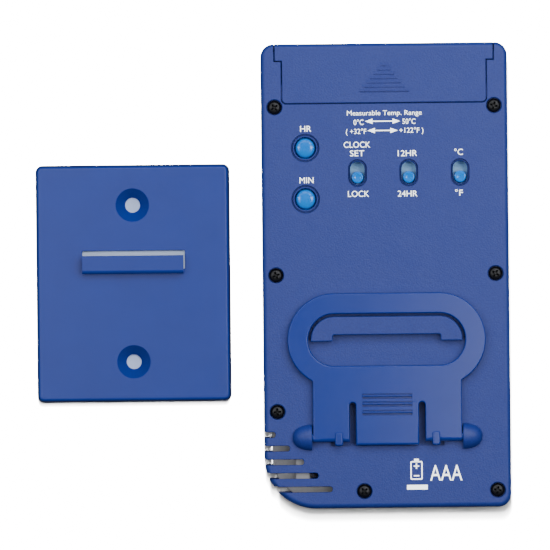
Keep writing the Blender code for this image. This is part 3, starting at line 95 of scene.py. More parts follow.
DOOR = spot("battery_door")
STAND = spot("stand")
BRACKET = spot("wall_bracket")
LENS = spot("display_lens")
LCD = spot("lcd_panel")
BATTERY = spot("battery")
TRAY = spot("sensor_tray")
BACK = DOOR[2].z
HINGE_Y, HINGE_Z = joint_of("stand_hinge")["pos_m"][1:]
SWITCH_TRAVEL = joint_of("hour_switch_slide")["range_m"][1]

# Case
WALL = 2 * MM
SKIN_UNDER = BACK - 2.2 * MM
FACE_SKIN = 2.2 * MM
SHELL_TOP = SHELL_BOX[1].z
COVER_RIM = SHELL_TOP + SLACK
CORNERS = (14.5 * MM, 3.6 * MM, 3.6 * MM, 3.6 * MM)
EDGE_ROUND = 1.4 * MM
SCREWS = [spot(f"case_screw_{index}")[0] for index in range(1, 8)]
RECESS_RADIUS = 2.15 * MM
BOSS_RADIUS = 3.0 * MM
PASSAGE_RADIUS = 1.4 * MM
BOARD_LOW = spot("main_board")[1].z
BOARD_POSTS = [spot(f"board_screw_{index}")[0][:2] for index in (5, 6)]
SEAM_LIP = (0.8 * MM, -56.2 * MM, -38 * MM)  # its thickness and the ends of its run

# Battery door and bay
DOOR_LOW = DOOR[1].y
DOOR_HALF = DOOR[2].x
DOOR_STEP_IN = 2.0 * MM
DOOR_STEP_Y = TOP - 4.7 * MM
DOOR_THICKNESS = 1.8 * MM
DOOR_CORNER = 1.1 * MM
SKIRT_LOW = DOOR[1].z
BAY_WALL = 1.2 * MM
BAY_FLOOR = 4.8 * MM
BAY_TOP = TOP - 3.5 * MM
BAY_LOW = BATTERY[1].y - 1.1 * MM
BAY_HALF = spot("positive_contact")[2].x + SLACK

# Stand
RING_HALF_WIDTH = STAND[2].x
RING_HALF_HEIGHT = 13.0 * MM
RING_BAR = 5.7 * MM
RING_Y = STAND[2].y - RING_HALF_HEIGHT
STAND_LOW = HINGE_Z - 1.15 * MM
STAND_HIGH = HINGE_Z + 1.15 * MM
WINDOW_HALF_HEIGHT = RING_HALF_HEIGHT - RING_BAR
WINDOW_HALF_WIDTH = RING_HALF_WIDTH - RING_BAR
NECK_HALF = 20.8 * MM
NECK_LOW = HINGE_Y - 1.3 * MM
TONGUE_HALF = 8.8 * MM
TONGUE_LOW = HINGE_Y - 2.3 * MM
SLIT_WIDTH = 1.8 * MM
SLIT_TOP = HINGE_Y + 9.7 * MM
LUG_X = 13.6 * MM

# Controls
BUTTONS = {name: spot(f"{name}_button")[0] for name in ("hr", "min")}
SLIDERS = {name: spot(f"{name}_slider") for name in ("clock", "hour", "unit")}
KEYS = {name: spot(f"{name}_front_key") for name in ("left", "middle", "right")}
BUTTON_RADIUS = 2.65 * MM
BUTTON_GAP = 0.45 * MM
BUTTON_RIM_RADIUS = 3.7 * MM
RIM_DEPTH = 1.1 * MM
KEY_SIZE = (12 * MM, 6 * MM)
KNOB_RADIUS = 1.65 * MM
SLOT = (4.05 * MM, 6.4 * MM)
SLOT_RIM = (4.75 * MM, 7.25 * MM)

# Wall bracket
BRACKET_HOLE_Y = 22 * MM  # on both sides of its middle

# Print
PRINT_THICKNESS = 0.024 * MM
CAPITAL_SHARE = 0.729  # a capital's height in the built-in typeface

# Vents
VENT_WIDTH = 1.6 * MM
VENT_PITCH = 3.84 * MM
VENT_FIRST_Y = -TOP + 20.7 * MM
VENT_FIRST_LENGTH = 3.2 * MM
VENT_GROWTH = 3.95 * MM


# Outlines


def rounded(width, height, radii, centre=(0, 0), steps=8):
    """A rectangle with round corners, anticlockwise from the lower left corner."""
    x, y = centre
    radii = radii if isinstance(radii, tuple) else (radii,) * 4
    points = []
    for index, ((sx, sy), radius) in enumerate(zip(((-1, -1), (1, -1), (1, 1), (-1, 1)), radii)):
        middle = (x + sx * (width / 2 - radius), y + sy * (height / 2 - radius))
        if radius == 0:
            points.append(middle)
            continue
        points.extend(arc(middle, radius, 180 + 90 * index, 270 + 90 * index, steps))
    return without_doubles(points)


def arc(centre, radius, first, last, steps):
    x, y = centre
    angles = [radians(first + (last - first) * step / steps) for step in range(steps + 1)]
    return [(x + radius * cos(angle), y + radius * sin(angle)) for angle in angles]


def circle(radius, centre=(0, 0), sides=48):
    return arc(centre, radius, 0, 360 - 360 / sides, sides - 1)


def stadium(width, height, centre=(0, 0), steps=10):
    return rounded(width, height, min(width, height) / 2, centre, steps)


def without_doubles(points):
    kept = []
    for point in points:
        if all(dist(point, other) > 1e-6 for other in (kept[-1:] + kept[:1])):
            kept.append(point)
    return kept


def grown(outline, distance):
    """An anticlockwise outline moved outwards by a distance."""
    moved = []
    for before, point, after in zip(outline[-1:] + outline[:-1], outline, outline[1:] + outline[:1]):
        first = Vector((point[1] - before[1], before[0] - point[0])).normalized()
        last = Vector((after[1] - point[1], point[0] - after[0])).normalized()
        move = (first + last) * distance / max(1 + first.dot(last), 0.2)
        moved.append((point[0] + move.x, point[1] + move.y))
    return moved


def case_outline(inset=0.0):
    radii = tuple(max(radius - inset, 0.6 * MM) for radius in CORNERS)
    return rounded(2 * (RIGHT - inset), 2 * (TOP - inset), radii, steps=14)


def vents():
    """The vent slots, each (y, x of its inner end)."""
    return [(VENT_FIRST_Y - index * VENT_PITCH, -RIGHT + VENT_FIRST_LENGTH + index * VENT_GROWTH)
            for index in range(5)]


# Solids, made on the bench and finished into pieces


def put(name, data):
    """A new object in the scene for a mesh, curve, camera or light."""
    made = bpy.data.objects.new(name, data)
    bpy.context.scene.collection.objects.link(made)
    return made


def solid(name, shape):
    """An object for a bmesh, which is freed."""
    bmesh.ops.recalc_face_normals(shape, faces=shape.faces)
    mesh = bpy.data.meshes.new(name)
    shape.to_mesh(mesh)
    shape.free()
    return put(name, mesh)


def loft(name, rings, capped=True):
    """Rings of equally many (x, y, z) points joined in order. Not capped, the last joins the first."""
    shape = bmesh.new()
    rows = [[shape.verts.new(point) for point in ring] for ring in rings]
    pairs = list(zip(rows, rows[1:]))
    if not capped:
        pairs.append((rows[-1], rows[0]))
    for lower, upper in pairs:
        for index in range(len(lower)):
            after = (index + 1) % len(lower)
            shape.faces.new((lower[index], lower[after], upper[after], upper[index]))
    if capped:
        shape.faces.new(rows[0])
        shape.faces.new(rows[-1])
    return solid(name, shape)


def stack(name, outline, levels, capped=True):
    """A loft of one outline, grown by a distance at each height: levels are (height, distance)."""
    return loft(name, [[(x, y, height) for x, y in grown(outline, distance)]
                       for height, distance in levels], capped)


def turns(steps, first=0):
    """The (cosine, sine) of even steps through a quarter turn."""
    return [(cos(pi / 2 * step / steps), sin(pi / 2 * step / steps)) for step in range(first, steps + 1)]


def quarter(radius, steps):
    """Shares of a quarter round, each (depth below the face, distance in from the side)."""
    return [(radius * (1 - along), radius * (1 - up)) for along, up in turns(steps)]


def slab(name, outline, low, high, top=0.0, bottom=0.0, steps=5):
    """A plate whose upper and lower rims are rounded."""
    levels = [(low, 0)]
    if bottom:
        levels = [(low + depth, -inwards) for depth, inwards in quarter(bottom, steps)]
    if top:
        levels += [(high - depth, -inwards) for depth, inwards in reversed(quarter(top, steps))]
    else:
        levels.append((high, 0))
    return stack(name, outline, levels)


def opening(name, outline, low, high, top=0.0, bottom=0.0, steps=4):
    """A cutter for a hole whose rims are rounded where it meets the two faces."""
    levels = [(low, 0)]
    if bottom:
        levels = [(low - LIP, bottom)]
        levels += [(low + depth, inwards) for depth, inwards in quarter(bottom, steps)]
    if top:
        levels += [(high - depth, inwards) for depth, inwards in reversed(quarter(top, steps))]
        levels.append((high + LIP, top))
    else:
        levels.append((high, 0))
    return stack(name, outline, levels)


def moat(name, outline, width, depth, height):
    """A cutter for a groove with soft lips that follows an outline."""
    half = width / 2
    section = [(-half - 0.06 * MM, LIP), (-half - 0.06 * MM, 0.01 * MM), (-half, -0.06 * MM),
               (-half, -0.85 * depth), (-0.6 * half, -depth), (0.6 * half, -depth),
               (half, -0.85 * depth), (half, -0.06 * MM), (half + 0.06 * MM, 0.01 * MM),
               (half + 0.06 * MM, LIP)]
    return stack(name, outline, [(height + drop, out) for out, drop in section], capped=False)


def block(name, low, high):
    shape = bmesh.new()
    bmesh.ops.create_cube(shape, size=1)
    low, high = Vector(low), Vector(high)
    turn = Matrix.Translation((low + high) / 2) @ Matrix.Diagonal((*(high - low), 1))
    bmesh.ops.transform(shape, matrix=turn, verts=shape.verts)
    return solid(name, shape)


def both_sides(name, inner, outer, low, high):
    """Mirrored blocks between two distances from the middle; low and high are (y, z)."""
    ends = [sorted((side * inner, side * outer)) for side in (-1, 1)]
    return [block(name, (near, *low), (far, *high)) for near, far in ends]


def across(name, outline, start, end):
    """An outline of (y, z) points, run along X."""
    return loft(name, [[(x, y, z) for y, z in outline] for x in (start, end)])


def pillar(name, centre, radius, low, high, sides=32):
    return stack(name, circle(radius, centre, sides), [(low, 0), (high, 0)])


def bore_x(name, centre, radius, start, end, sides=32):
    return across(name, circle(radius, centre, sides), start, end)


def both_bores(name, radius, inner, outer):
    """Mirrored cylinders on the stand's axis."""
    return [bore_x(name, (HINGE_Y, HINGE_Z), radius, *sorted((side * inner, side * outer)))
            for side in (-1, 1)]


def turned(name, profile, centre, sides=48):
    """A profile of (radius, height) turned about Z; its ends are closed with a flat face."""
    x, y, z = centre
    rings = []
    for radius, height in profile:
        reach = max(radius, 0.01 * MM)
        rings.append([(x + px, y + py, z + height) for px, py in circle(reach, sides=sides)])
    return loft(name, rings)


def solve(target, tools, operation):
    """Joins or cuts the tools, which are used up."""
    bench = bpy.data.collections.new("bench")
    bpy.context.scene.collection.children.link(bench)
    for tool in tools:
        bpy.context.scene.collection.objects.unlink(tool)
        bench.objects.link(tool)
    modifier = target.modifiers.new("solve", "BOOLEAN")
    modifier.operation = operation
    modifier.operand_type = "COLLECTION"
    modifier.collection = bench
    modifier.solver = "MANIFOLD"
    settle(target)
    for tool in tools:
        bpy.data.meshes.remove(tool.data)
    bpy.data.collections.remove(bench)
    return target


def settle(target):
    """Puts what the modifiers make into the mesh itself."""
    bpy.context.view_layer.update()
    evaluated = target.evaluated_get(bpy.context.evaluated_depsgraph_get())
    mesh = bpy.data.meshes.new_from_object(evaluated)
    old = target.data
    target.modifiers.clear()
    target.data = mesh
    bpy.data.meshes.remove(old)


def join(target, *tools):
    return solve(target, tools, "UNION")


def cut(target, *tools):
    return solve(target, tools, "DIFFERENCE")


def piece(made, body, slot, replaced=(), sharp=35, material=None):
    """Finishes a solid: smooth where it is round, painted, and riding on its CAD body."""
    mesh = made.data
    mesh.shade_smooth()
    mesh.set_sharp_from_angle(angle=radians(sharp))
    weighted = made.modifiers.new("flat faces stay flat", "WEIGHTED_NORMAL")
    weighted.keep_sharp = True
    settle(made)
    made.data.transform(TO_FRAME)
    made.data.materials.clear()
    made.data.materials.append(material or PAINTS[slot])
    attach(made, body)
    if replaced:
        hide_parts(*replaced)
    return made


# Materials


class Paint:
    """A material under construction: its shader and short ways to add procedural detail."""

    def __init__(self, name, colour, roughness, metallic=0.0):
        self.name = name
        self.material = bpy.data.materials.new(name)
        self.material.use_nodes = True
        self.nodes = self.material.node_tree.nodes
        self.links = self.material.node_tree.links
        self.shader = self.nodes["Principled BSDF"]
        self.colour = colour
        self.set("Base Color", (*colour, 1))
        self.set("Roughness", roughness)
        self.set("Metallic", metallic)
        self.place = self.nodes.new("ShaderNodeTexCoord").outputs["Object"]

    def set(self, socket, value):
        self.shader.inputs[socket].default_value = value

    def node(self, kind, values, source, socket, **settings):
        """A node with these values, fed by a source through one socket."""
        made = self.nodes.new("ShaderNode" + kind)
        for name, value in settings.items():
            setattr(made, name, value)
        for name, value in values.items():
            made.inputs[name].default_value = value
        self.links.new(source, made.inputs[socket])
        return made

    def noise(self, size, detail):
        """A noise whose features are about this size."""
        values = {"Scale": 1 / size, "Detail": detail, "Roughness": 0.5}
        return self.node("TexNoise", values, self.place, "Vector").outputs["Fac"]

    def ranged(self, value, low, high, start=0.3, end=0.7):
        values = {"From Min": start, "From Max": end, "To Min": low, "To Max": high}
        return self.node("MapRange", values, value, "Value").outputs["Result"]

    def blend(self, factor, low, high):
        """Colours the shader from low to high by a factor."""
        mix = self.node("Mix", {}, factor, "Factor", data_type="RGBA")
        mix.inputs["A"].default_value = (*low, 1)
        mix.inputs["B"].default_value = (*high, 1)
        self.links.new(mix.outputs["Result"], self.shader.inputs["Base Color"])

    def bump(self, value, height):
        """Adds relief of this height over any that is there."""
        made = self.node("Bump", {"Strength": 1.0, "Distance": height}, value, "Height")
        socket = self.shader.inputs["Normal"]
        if socket.is_linked:
            self.links.new(socket.links[0].from_socket, made.inputs["Normal"])
        self.links.new(made.outputs["Normal"], socket)

    def mottle(self, size, amount, tint=(1.0, 1.0, 1.0)):
        """Varies the colour by this share, towards a tint of itself."""
        low = [part * (1 - amount) for part in self.colour]
        high = [min(1, part * (1 + amount) * shade) for part, shade in zip(self.colour, tint)]
        self.blend(self.ranged(self.noise(size, 3), 0, 1), low, high)

    def uneven(self, size, low, high):
        """Varies the roughness."""
        value = self.ranged(self.noise(size, 3), low, high)
        self.links.new(value, self.shader.inputs["Roughness"])

    def grain(self, *layers):
        """Bump from noises, each (size, height)."""
        for size, height in layers:
            self.bump(self.noise(size, 2), height)


def plain(name, colour, roughness, mottle, uneven=None, grain=(), metallic=0.0):
    """A paint with a mottle (size, amount), uneven dullness (size, low, high) and a grain, in mm."""
    paint = Paint(name, colour, roughness, metallic)
    size, *rest = mottle
    paint.mottle(size * MM, *rest)
    if uneven:
        size, low, high = uneven
        paint.uneven(size * MM, low, high)
    if grain:
        paint.grain(*((size * MM, height * MM) for size, height in grain))
    return paint


def smooth_plastic(name, dull):
    """Polished blue plastic, duller where its roughness is higher."""
    return plain(name, (0.006, 0.035, 0.31), dull, (9, 0.04), (6, 0.95 * dull, 1.05 * dull),
                 ((7, 0.012), (0.3, 0.001)))


def lens_acrylic():
    paint = Paint("display_lens", (0.97, 0.98, 0.98), 0.03)
    paint.set("Transmission Weight", 1.0)
    paint.set("IOR", 1.49)
    paint.grain((12 * MM, 0.002 * MM))
    return paint


def rubber(name, colour):
    return plain(name, colour, 0.75, (1.2, 0.06), (2, 0.7, 0.82), ((0.25, 0.012),))


def metal(name, colour, low, high):
    return plain(name, colour, (low + high) / 2, (1.5, 0.06), (0.8, low, high), ((0.5, 0.006),), 1.0)


def sleeved_wire(name, colour):
    return plain(name, colour, 0.45, (0.6, 0.08), None, ((0.4, 0.01),))


def circuit_board():
    """Solder mask whose tracks show as slightly raised, lighter lines."""
    paint = Paint("circuit_board", (0.012, 0.13, 0.045), 0.35)
    wave = paint.node("TexWave", {"Scale": 160, "Distortion": 9, "Detail": 1}, paint.place,
                      "Vector", bands_direction="DIAGONAL")
    tracks = paint.ranged(wave.outputs["Fac"], 0, 1, 0.6, 0.66)
    paint.blend(tracks, (0.01, 0.12, 0.04), (0.03, 0.22, 0.08))
    paint.bump(tracks, 0.03 * MM)
    return paint


def floor_material(name, colour):
    paint = Paint(name, colour, 0.9)
    paint.set("Specular IOR Level", 0.1)
    return paint.material


def materials():
    """Each of the record's slots with its material, which has the slot's name."""
    sleeve = plain("cell_sleeve", (0.035, 0.04, 0.055), 0.25, (2, 0.08), (3, 0.2, 0.3), ((2.5, 0.02),))
    sleeve.set("Coat Weight", 0.5)
    paints = [
        plain("case_blue", (0.010, 0.034, 0.27), 0.5, (0.5, 0.12, (1.1, 1.05, 1.0)), (4, 0.46, 0.52),
              ((0.45, 0.06), (1.3, 0.04))),
        smooth_plastic("smooth_blue", 0.22),
        plain("button_blue", (0.0, 0.26, 1.0), 0.14, (1.5, 0.06), (2, 0.12, 0.2), ((1.6, 0.02),)),
        lens_acrylic(),
        plain("lcd_glass", (0.42, 0.46, 0.38), 0.25, (0.6, 0.03), (8, 0.2, 0.3), ((0.4, 0.002),)),
        plain("white_plastic", (0.72, 0.72, 0.69), 0.45, (3, 0.03), (3, 0.4, 0.5), ((0.4, 0.01),)),
        rubber("grey_rubber", (0.24, 0.24, 0.25)),
        rubber("contact_rubber", (0.55, 0.22, 0.25)),
        circuit_board(),
        plain("black_epoxy", (0.012, 0.012, 0.013), 0.3, (1, 0.2), (1, 0.24, 0.4), ((0.8, 0.02),)),
        plain("black_steel", (0.008, 0.009, 0.012), 0.3, (0.5, 0.25), (0.6, 0.24, 0.42),
              ((0.35, 0.01),), 0.35),
        metal("plated_steel", (0.62, 0.61, 0.58), 0.2, 0.34),
        metal("wiper_brass", (0.72, 0.5, 0.2), 0.22, 0.36),
        plain("tray_grey", (0.62, 0.62, 0.63), 0.5, (1.5, 0.08), (2, 0.45, 0.55), ((0.4, 0.015),)),
        sleeve,
        sleeved_wire("wire_red", (0.45, 0.012, 0.01)),
        sleeved_wire("wire_black", (0.012, 0.012, 0.012)),
        plain("legend_white", (0.9, 0.95, 1.0), 0.6, (0.3, 0.06), None, ((0.2, 0.006),)),
    ]
    return {paint.name: paint.material for paint in paints}


PAINTS = materials()
SEGMENT_INK = plain("display_segment", (0.02, 0.022, 0.025), 0.3, (0.5, 0.1)).material
# The sliders' plates are the same blue plastic as their knobs; this paler copy is painted light, for how a plate
# looks in its slot.
SLIDER_PAINTED_LIGHT = plain("slider_pale", (0.32, 0.62, 0.95), 0.6, (0.4, 0.1), (1, 0.5, 0.7),
                    ((0.3, 0.03),)).material
BRACKET_BLUE = smooth_plastic("bracket_blue", 0.32).material


def repaint_cad_nodes():
    """Every CAD node gets the material of its slot in the record."""
    for part in frame["record"]["subparts"]:
        node = frame["nodes"][part["node"]]
        node.data.materials.clear()
        node.data.materials.append(PAINTS[part["material_slot"]])


# Rear cover


def cover_block():
    cover = slab("fine_rear_cover", case_outline(), COVER_RIM, BACK, top=EDGE_ROUND,
                 bottom=0.15 * MM, steps=6)
    cut(cover, slab("hollow", case_outline(WALL), COVER_RIM - LIP, SKIN_UNDER))
    return cover


def door_outline(grow=0.0):
    narrow = DOOR_HALF - DOOR_STEP_IN + grow
    wide = DOOR_HALF + grow
    low = DOOR_LOW - grow
    radius = DOOR_CORNER + grow
    left = arc((-narrow + radius, low + radius), radius, 180, 270, 6)
    right = arc((narrow - radius, low + radius), radius, 270, 360, 6)
    step = DOOR_STEP_Y - grow
    far = TOP + (2 * MM if grow else 0)
    return [*left, *right, (narrow, step), (wide, step), (wide, far), (-wide, far),
            (-wide, step), (-narrow, step)]


def cover_inside(cover):
    """Bosses, the cell's bay, the door's seat and the liner behind the stand's tongue."""
    tools = [pillar("boss", place[:2], BOSS_RADIUS, COVER_RIM + 0.1 * MM, SKIN_UNDER + SINK)
             for place in SCREWS]
    tools.append(block("bay", (-BAY_HALF - BAY_WALL, BAY_LOW - BAY_WALL, BAY_FLOOR - BAY_WALL),
                       (BAY_HALF + BAY_WALL, BAY_TOP + BAY_WALL, SKIN_UNDER + SINK)))
    tools.append(block("seat", (-DOOR_HALF - 2 * SLACK, DOOR_LOW - BAY_WALL, SKIN_UNDER - 1.7 * MM),
                       (DOOR_HALF + 2 * SLACK, TOP - WALL + SINK, SKIN_UNDER + SINK)))
    tools.append(block("liner", (-12.8 * MM, HINGE_Y - 3.3 * MM, SKIN_UNDER - 0.85 * MM),
                       (12.8 * MM, SLIT_TOP + 3 * MM, SKIN_UNDER + SINK)))
    join(cover, *tools)


def cover_door_way(cover):
    tools = [block("pocket", (-BAY_HALF, BAY_LOW, BAY_FLOOR), (BAY_HALF, BAY_TOP, BACK))]
    door_under = BACK - DOOR_THICKNESS
    tools.append(opening("way", door_outline(SLACK), door_under - SLACK, BACK, top=0.18 * MM))
    half = DOOR_HALF + 1.35 * SLACK
    tools.append(block("end", (-half, TOP - WALL - SINK, SKIRT_LOW - SLACK),
                       (half, TOP + MM, BACK + 2 * MM)))
    inner = DOOR_HALF - DOOR_STEP_IN - SLACK
    tools += both_sides("groove", inner, inner + 1.5 * MM, (DOOR_LOW + 2 * SLACK, door_under - 0.1 * MM),
                        (DOOR_STEP_Y, door_under + 1.3 * MM))
    tools += both_sides("notch", BAY_HALF - 1.3 * MM, BAY_HALF - 0.1 * MM,
                        (BAY_LOW - BAY_WALL - SLACK, BAY_FLOOR + 4 * MM),
                        (BAY_LOW + SLACK, BATTERY[0].z + 2 * MM))
    cut(cover, *tools)


def cover_holes(cover):
    """Screw recesses, the button holes and the switch slots, each with its fine groove."""
    tools = []
    below = SKIN_UNDER - MM
    for x, y, _ in SCREWS:
        recess = circle(RECESS_RADIUS, (x, y))
        tools += [opening("recess", recess, SKIN_UNDER, BACK, top=0.25 * MM),
                  pillar("passage", (x, y), PASSAGE_RADIUS, COVER_RIM - MM, SKIN_UNDER + SINK, 24)]
    for x, y, _ in BUTTONS.values():
        hole = circle(BUTTON_RADIUS + BUTTON_GAP, (x, y))
        rim = circle(BUTTON_RIM_RADIUS, (x, y), 64)
        tools += [opening("hole", hole, below, BACK, top=0.12 * MM),
                  moat("rim", rim, 0.5 * MM, RIM_DEPTH, BACK)]
    for (x, y, _), _, _ in SLIDERS.values():
        centre = (x, y + SWITCH_TRAVEL / 2)
        tools += [opening("slot", stadium(*SLOT, centre), below, BACK, top=0.12 * MM),
                  moat("rim", stadium(*SLOT_RIM, centre, 14), 0.45 * MM, RIM_DEPTH, BACK)]
    cut(cover, *tools)


def hood_outline():
    """The hood fills the upper half of the stand's window; its lower edge steps up at the mouth."""
    radius = WINDOW_HALF_HEIGHT - 0.8 * MM
    centre_x = WINDOW_HALF_WIDTH - WINDOW_HALF_HEIGHT
    foot = RING_Y - 0.4 * MM
    mouth = foot + 1.8 * MM
    half = 15.1 * MM
    corner = 0.5 * MM
    side = centre_x + sqrt(radius**2 - (0.4 * MM) ** 2)
    right = arc((centre_x, RING_Y), radius, 0, 90, 16)
    left = arc((-centre_x, RING_Y), radius, 90, 180, 16)
    return [*arc((-half - corner, foot + corner), corner, 270, 360, 4),
            *reversed(arc((-half + corner, mouth - corner), corner, 90, 180, 4)),
            *reversed(arc((half - corner, mouth - corner), corner, 0, 90, 4)),
            *arc((half + corner, foot + corner), corner, 180, 270, 4),
            (side, foot), *right, *left, (-side, foot)]


def cover_hood(cover):
    top = BACK + 2.4 * MM
    join(cover, slab("hood", without_doubles(hood_outline()), BACK - SINK, top, top=0.35 * MM))
    half = 14.8 * MM
    far = RING_Y + WINDOW_HALF_HEIGHT - 1.7 * MM
    cut(cover, block("mouth", (-half, RING_Y - 1.2 * MM, BACK - 0.6 * MM),
                     (half, far, top - MM)))
    cut(cover, *hood_gap())


def hood_gap():
    """A channel in the cover under the gap between the hood and the stand's window."""
    middle = WINDOW_HALF_HEIGHT - 0.4 * MM
    half = 0.42 * MM
    centre_x = WINDOW_HALF_WIDTH - WINDOW_HALF_HEIGHT
    rims = []
    for radius in (middle - half, middle + half):
        rims.append([(centre_x + radius, RING_Y), *arc((centre_x, RING_Y), radius, 4, 90, 16),
                     *arc((-centre_x, RING_Y), radius, 90, 176, 16), (-centre_x - radius, RING_Y)])
    outline = [*rims[1], *reversed(rims[0])]
    return [stack("channel", outline, [(BACK - 1.3 * MM, 0), (BACK + 0.1 * MM, 0)])]


def dome(side):
    """Half a dome: a flat face towards the stand and a round end away from it."""
    length, half_width, height = 5.45 * MM, 3.65 * MM, 3.3 * MM
    flat = NECK_HALF + SLACK
    shares = [(0, 0.94), (0.02, 0.98), (0.05, 1.0)]
    shares += [(up, along**0.8) for along, up in turns(16, 2)[:-1]]
    shares.append((1.0, 0.02))
    rings = []
    for out, share in shares:
        rings.append([(side * (flat + length * out), HINGE_Y + half_width * along,
                       BACK + max(height * up, -0.5 * MM))
                      for along, up in circle(share, sides=40)])
    return loft("dome", rings)


def cover_hinge(cover):
    """The domes that carry the stand's pivots, the pivot holes and the pockets for its swing."""
    join(cover, dome(-1), dome(1))
    tools = both_bores("pivot_hole", 1.3 * MM, NECK_HALF - MM, NECK_HALF + 2.7 * MM)
    for half, reach in ((15.9 * MM, hypot(2.4 * MM, 1.15 * MM) + SLACK),
                        (NECK_HALF + SLACK / 2, hypot(1.3 * MM, 1.15 * MM) + SLACK)):
        away = sqrt(reach**2 - (HINGE_Z - BACK) ** 2)
        tools.append(block("swing", (-half, HINGE_Y - away, HINGE_Z - reach),
                           (half, HINGE_Y + away, BACK + MM)))
    tools.append(block("tongue_room", (-11.6 * MM, HINGE_Y - 2.1 * MM, BACK - 1.7 * MM),
                       (11.6 * MM, SLIT_TOP + SLIT_WIDTH, BACK + 2 * MM)))
    tools += both_sides("trench", TONGUE_HALF - 0.4 * MM, TONGUE_HALF + SLIT_WIDTH + 0.4 * MM,
                        (HINGE_Y - 1.9 * MM, BACK - 2.8 * MM), (SLIT_TOP + 0.4 * MM, BACK - 1.5 * MM))
    cut(cover, *tools)


def cover_vents(cover):
    """Slots open at the side; their rims and the ends of the bars between them are rounded."""
    tools = []
    for y, inner in vents():
        mouth = vent_mouth(y)
        flare = 0.85 * MM
        low, high = y - VENT_WIDTH / 2, y + VENT_WIDTH / 2
        outline = [(mouth - 4 * MM, low - flare),
                   *reversed(arc((mouth + flare, low - flare), flare, 90, 180, 5)),
                   *rounded(2 * MM, VENT_WIDTH, (0, 0.7 * MM, 0.7 * MM, 0), (inner - MM, y), 6)[1:-1],
                   *reversed(arc((mouth + flare, high + flare), flare, 180, 270, 5)),
                   (mouth - 4 * MM, high + flare)]
        tools.append(opening("vent", outline, COVER_RIM - MM, BACK, top=0.22 * MM))
    cut(cover, *tools)


def vent_mouth(y):
    """Where a vent at this height meets the case's side."""
    radius = CORNERS[0]
    centre = -TOP + radius
    if y >= centre:
        return -RIGHT
    return -RIGHT + radius - sqrt(radius**2 - (centre - y) ** 2)


def rear_cover():
    cover = cover_block()
    cover_inside(cover)
    cover_door_way(cover)
    cover_holes(cover)
    cover_hood(cover)
    cover_hinge(cover)
    cover_vents(cover)
    piece(cover, "case", "case_blue", ("rear_cover",))


# Front shell


def front_shell():
    shell = slab("fine_front_shell", case_outline(), 0, SHELL_TOP, top=0.15 * MM,
                 bottom=EDGE_ROUND, steps=6)
    cut(shell, slab("hollow", case_outline(WALL), FACE_SKIN, SHELL_TOP + MM))
    posts = [pillar("boss", place[:2], BOSS_RADIUS, FACE_SKIN - SINK, SHELL_TOP - 0.1 * MM)
             for place in SCREWS]
    posts += [pillar("post", place, 2.4 * MM, FACE_SKIN - SINK, BOARD_LOW - SLACK)
              for place in BOARD_POSTS]
    thickness, start, end = SEAM_LIP
    posts.append(block("lip", (RIGHT - WALL - thickness, start, SHELL_TOP - 2 * MM),
                       (RIGHT - WALL + SINK, end, SHELL_TOP + MM)))
    join(shell, *posts)
    tools = [pillar("pilot", place[:2], PASSAGE_RADIUS, 4.2 * MM, SHELL_TOP + MM, 24)
             for place in SCREWS]
    tools += [pillar("pilot", place, 1.2 * MM, 4.3 * MM, SHELL_TOP, 24) for place in BOARD_POSTS]
    middle, low, high = LENS
    seat = rounded(high.x - low.x + 2 * SLACK, high.y - low.y + 2 * SLACK, 2 * MM, middle[:2])
    tools.append(opening("seat", seat, 0, high.z + SLACK, bottom=0.2 * MM))
    view = rounded(45.2 * MM, 46.8 * MM, MM, middle[:2])
    tools.append(slab("view", view, -MM, FACE_SKIN + MM))
    for middle, low, high in KEYS.values():
        outline = stadium(*(size + 2 * SLACK for size in KEY_SIZE), middle[:2])
        tools.append(opening("key_hole", outline, 0, FACE_SKIN + MM, bottom=0.25 * MM))
    for y, _ in vents():
        tools.append(block("face_vent", (-RIGHT - MM, y - VENT_WIDTH / 2, -MM),
                           (vent_mouth(y) + 4.1 * MM, y + VENT_WIDTH / 2, SHELL_TOP + MM)))
    cut(shell, *tools)
    piece(shell, "case", "case_blue", ("front_shell",))


# Sensor tray


def sensor_tray():
    """The pale tray under the vents, with a step up to the thicker part beside the sensor."""
    low, high = TRAY[1], TRAY[2]
    left = -RIGHT + WALL + SLACK
    outline = rounded(high.x - left, high.y - low.y, (11.8 * MM, MM, MM, MM),
                      ((left + high.x) / 2, (low.y + high.y) / 2), 10)
    tray = slab("fine_sensor_tray", outline, low.z, low.z + 1.4 * MM, top=0.3 * MM)
    centre = (-23.8 * MM, VENT_FIRST_Y - 2.5 * VENT_PITCH)
    ledge = slab("ledge", rounded(4 * MM, 7.4 * MM, 0.4 * MM, centre, 3), low.z + MM,
                 SKIN_UNDER - 1.4 * MM, top=0.3 * MM)
    join(tray, ledge)
    piece(tray, "case", "tray_grey", ("sensor_tray",))


# Battery door


def battery_door():
    door = slab("fine_battery_door", door_outline(), SKIRT_LOW, BACK, top=0.18 * MM)
    under = BACK - DOOR_THICKNESS
    tools = [block("under", (-2 * RIGHT, DOOR_LOW - MM, 0), (2 * RIGHT, TOP - 1.5 * MM, under)),
             across("edge", end_round(), -2 * RIGHT, 2 * RIGHT)]
    cut(door, *tools)
    inner = DOOR_HALF - DOOR_STEP_IN
    join(door, *both_sides("tab", inner - SINK, inner + 0.9 * MM, (DOOR_LOW + 1.2 * MM, under + SINK),
                           (DOOR_LOW + 5.2 * MM, under + MM)))
    cut(door, *grip_steps())
    piece(door, "battery_door", "case_blue", ("battery_door",))


def end_round():
    """What the door's rounded end loses, as (y, z)."""
    centre = (TOP - EDGE_ROUND, BACK - EDGE_ROUND)
    curve = arc(centre, EDGE_ROUND, 2, 88, 8)
    far_y, far_z = TOP + MM, BACK + MM
    return [(far_y, curve[0][1]), (far_y, far_z), (curve[-1][0], far_z), *reversed(curve)]


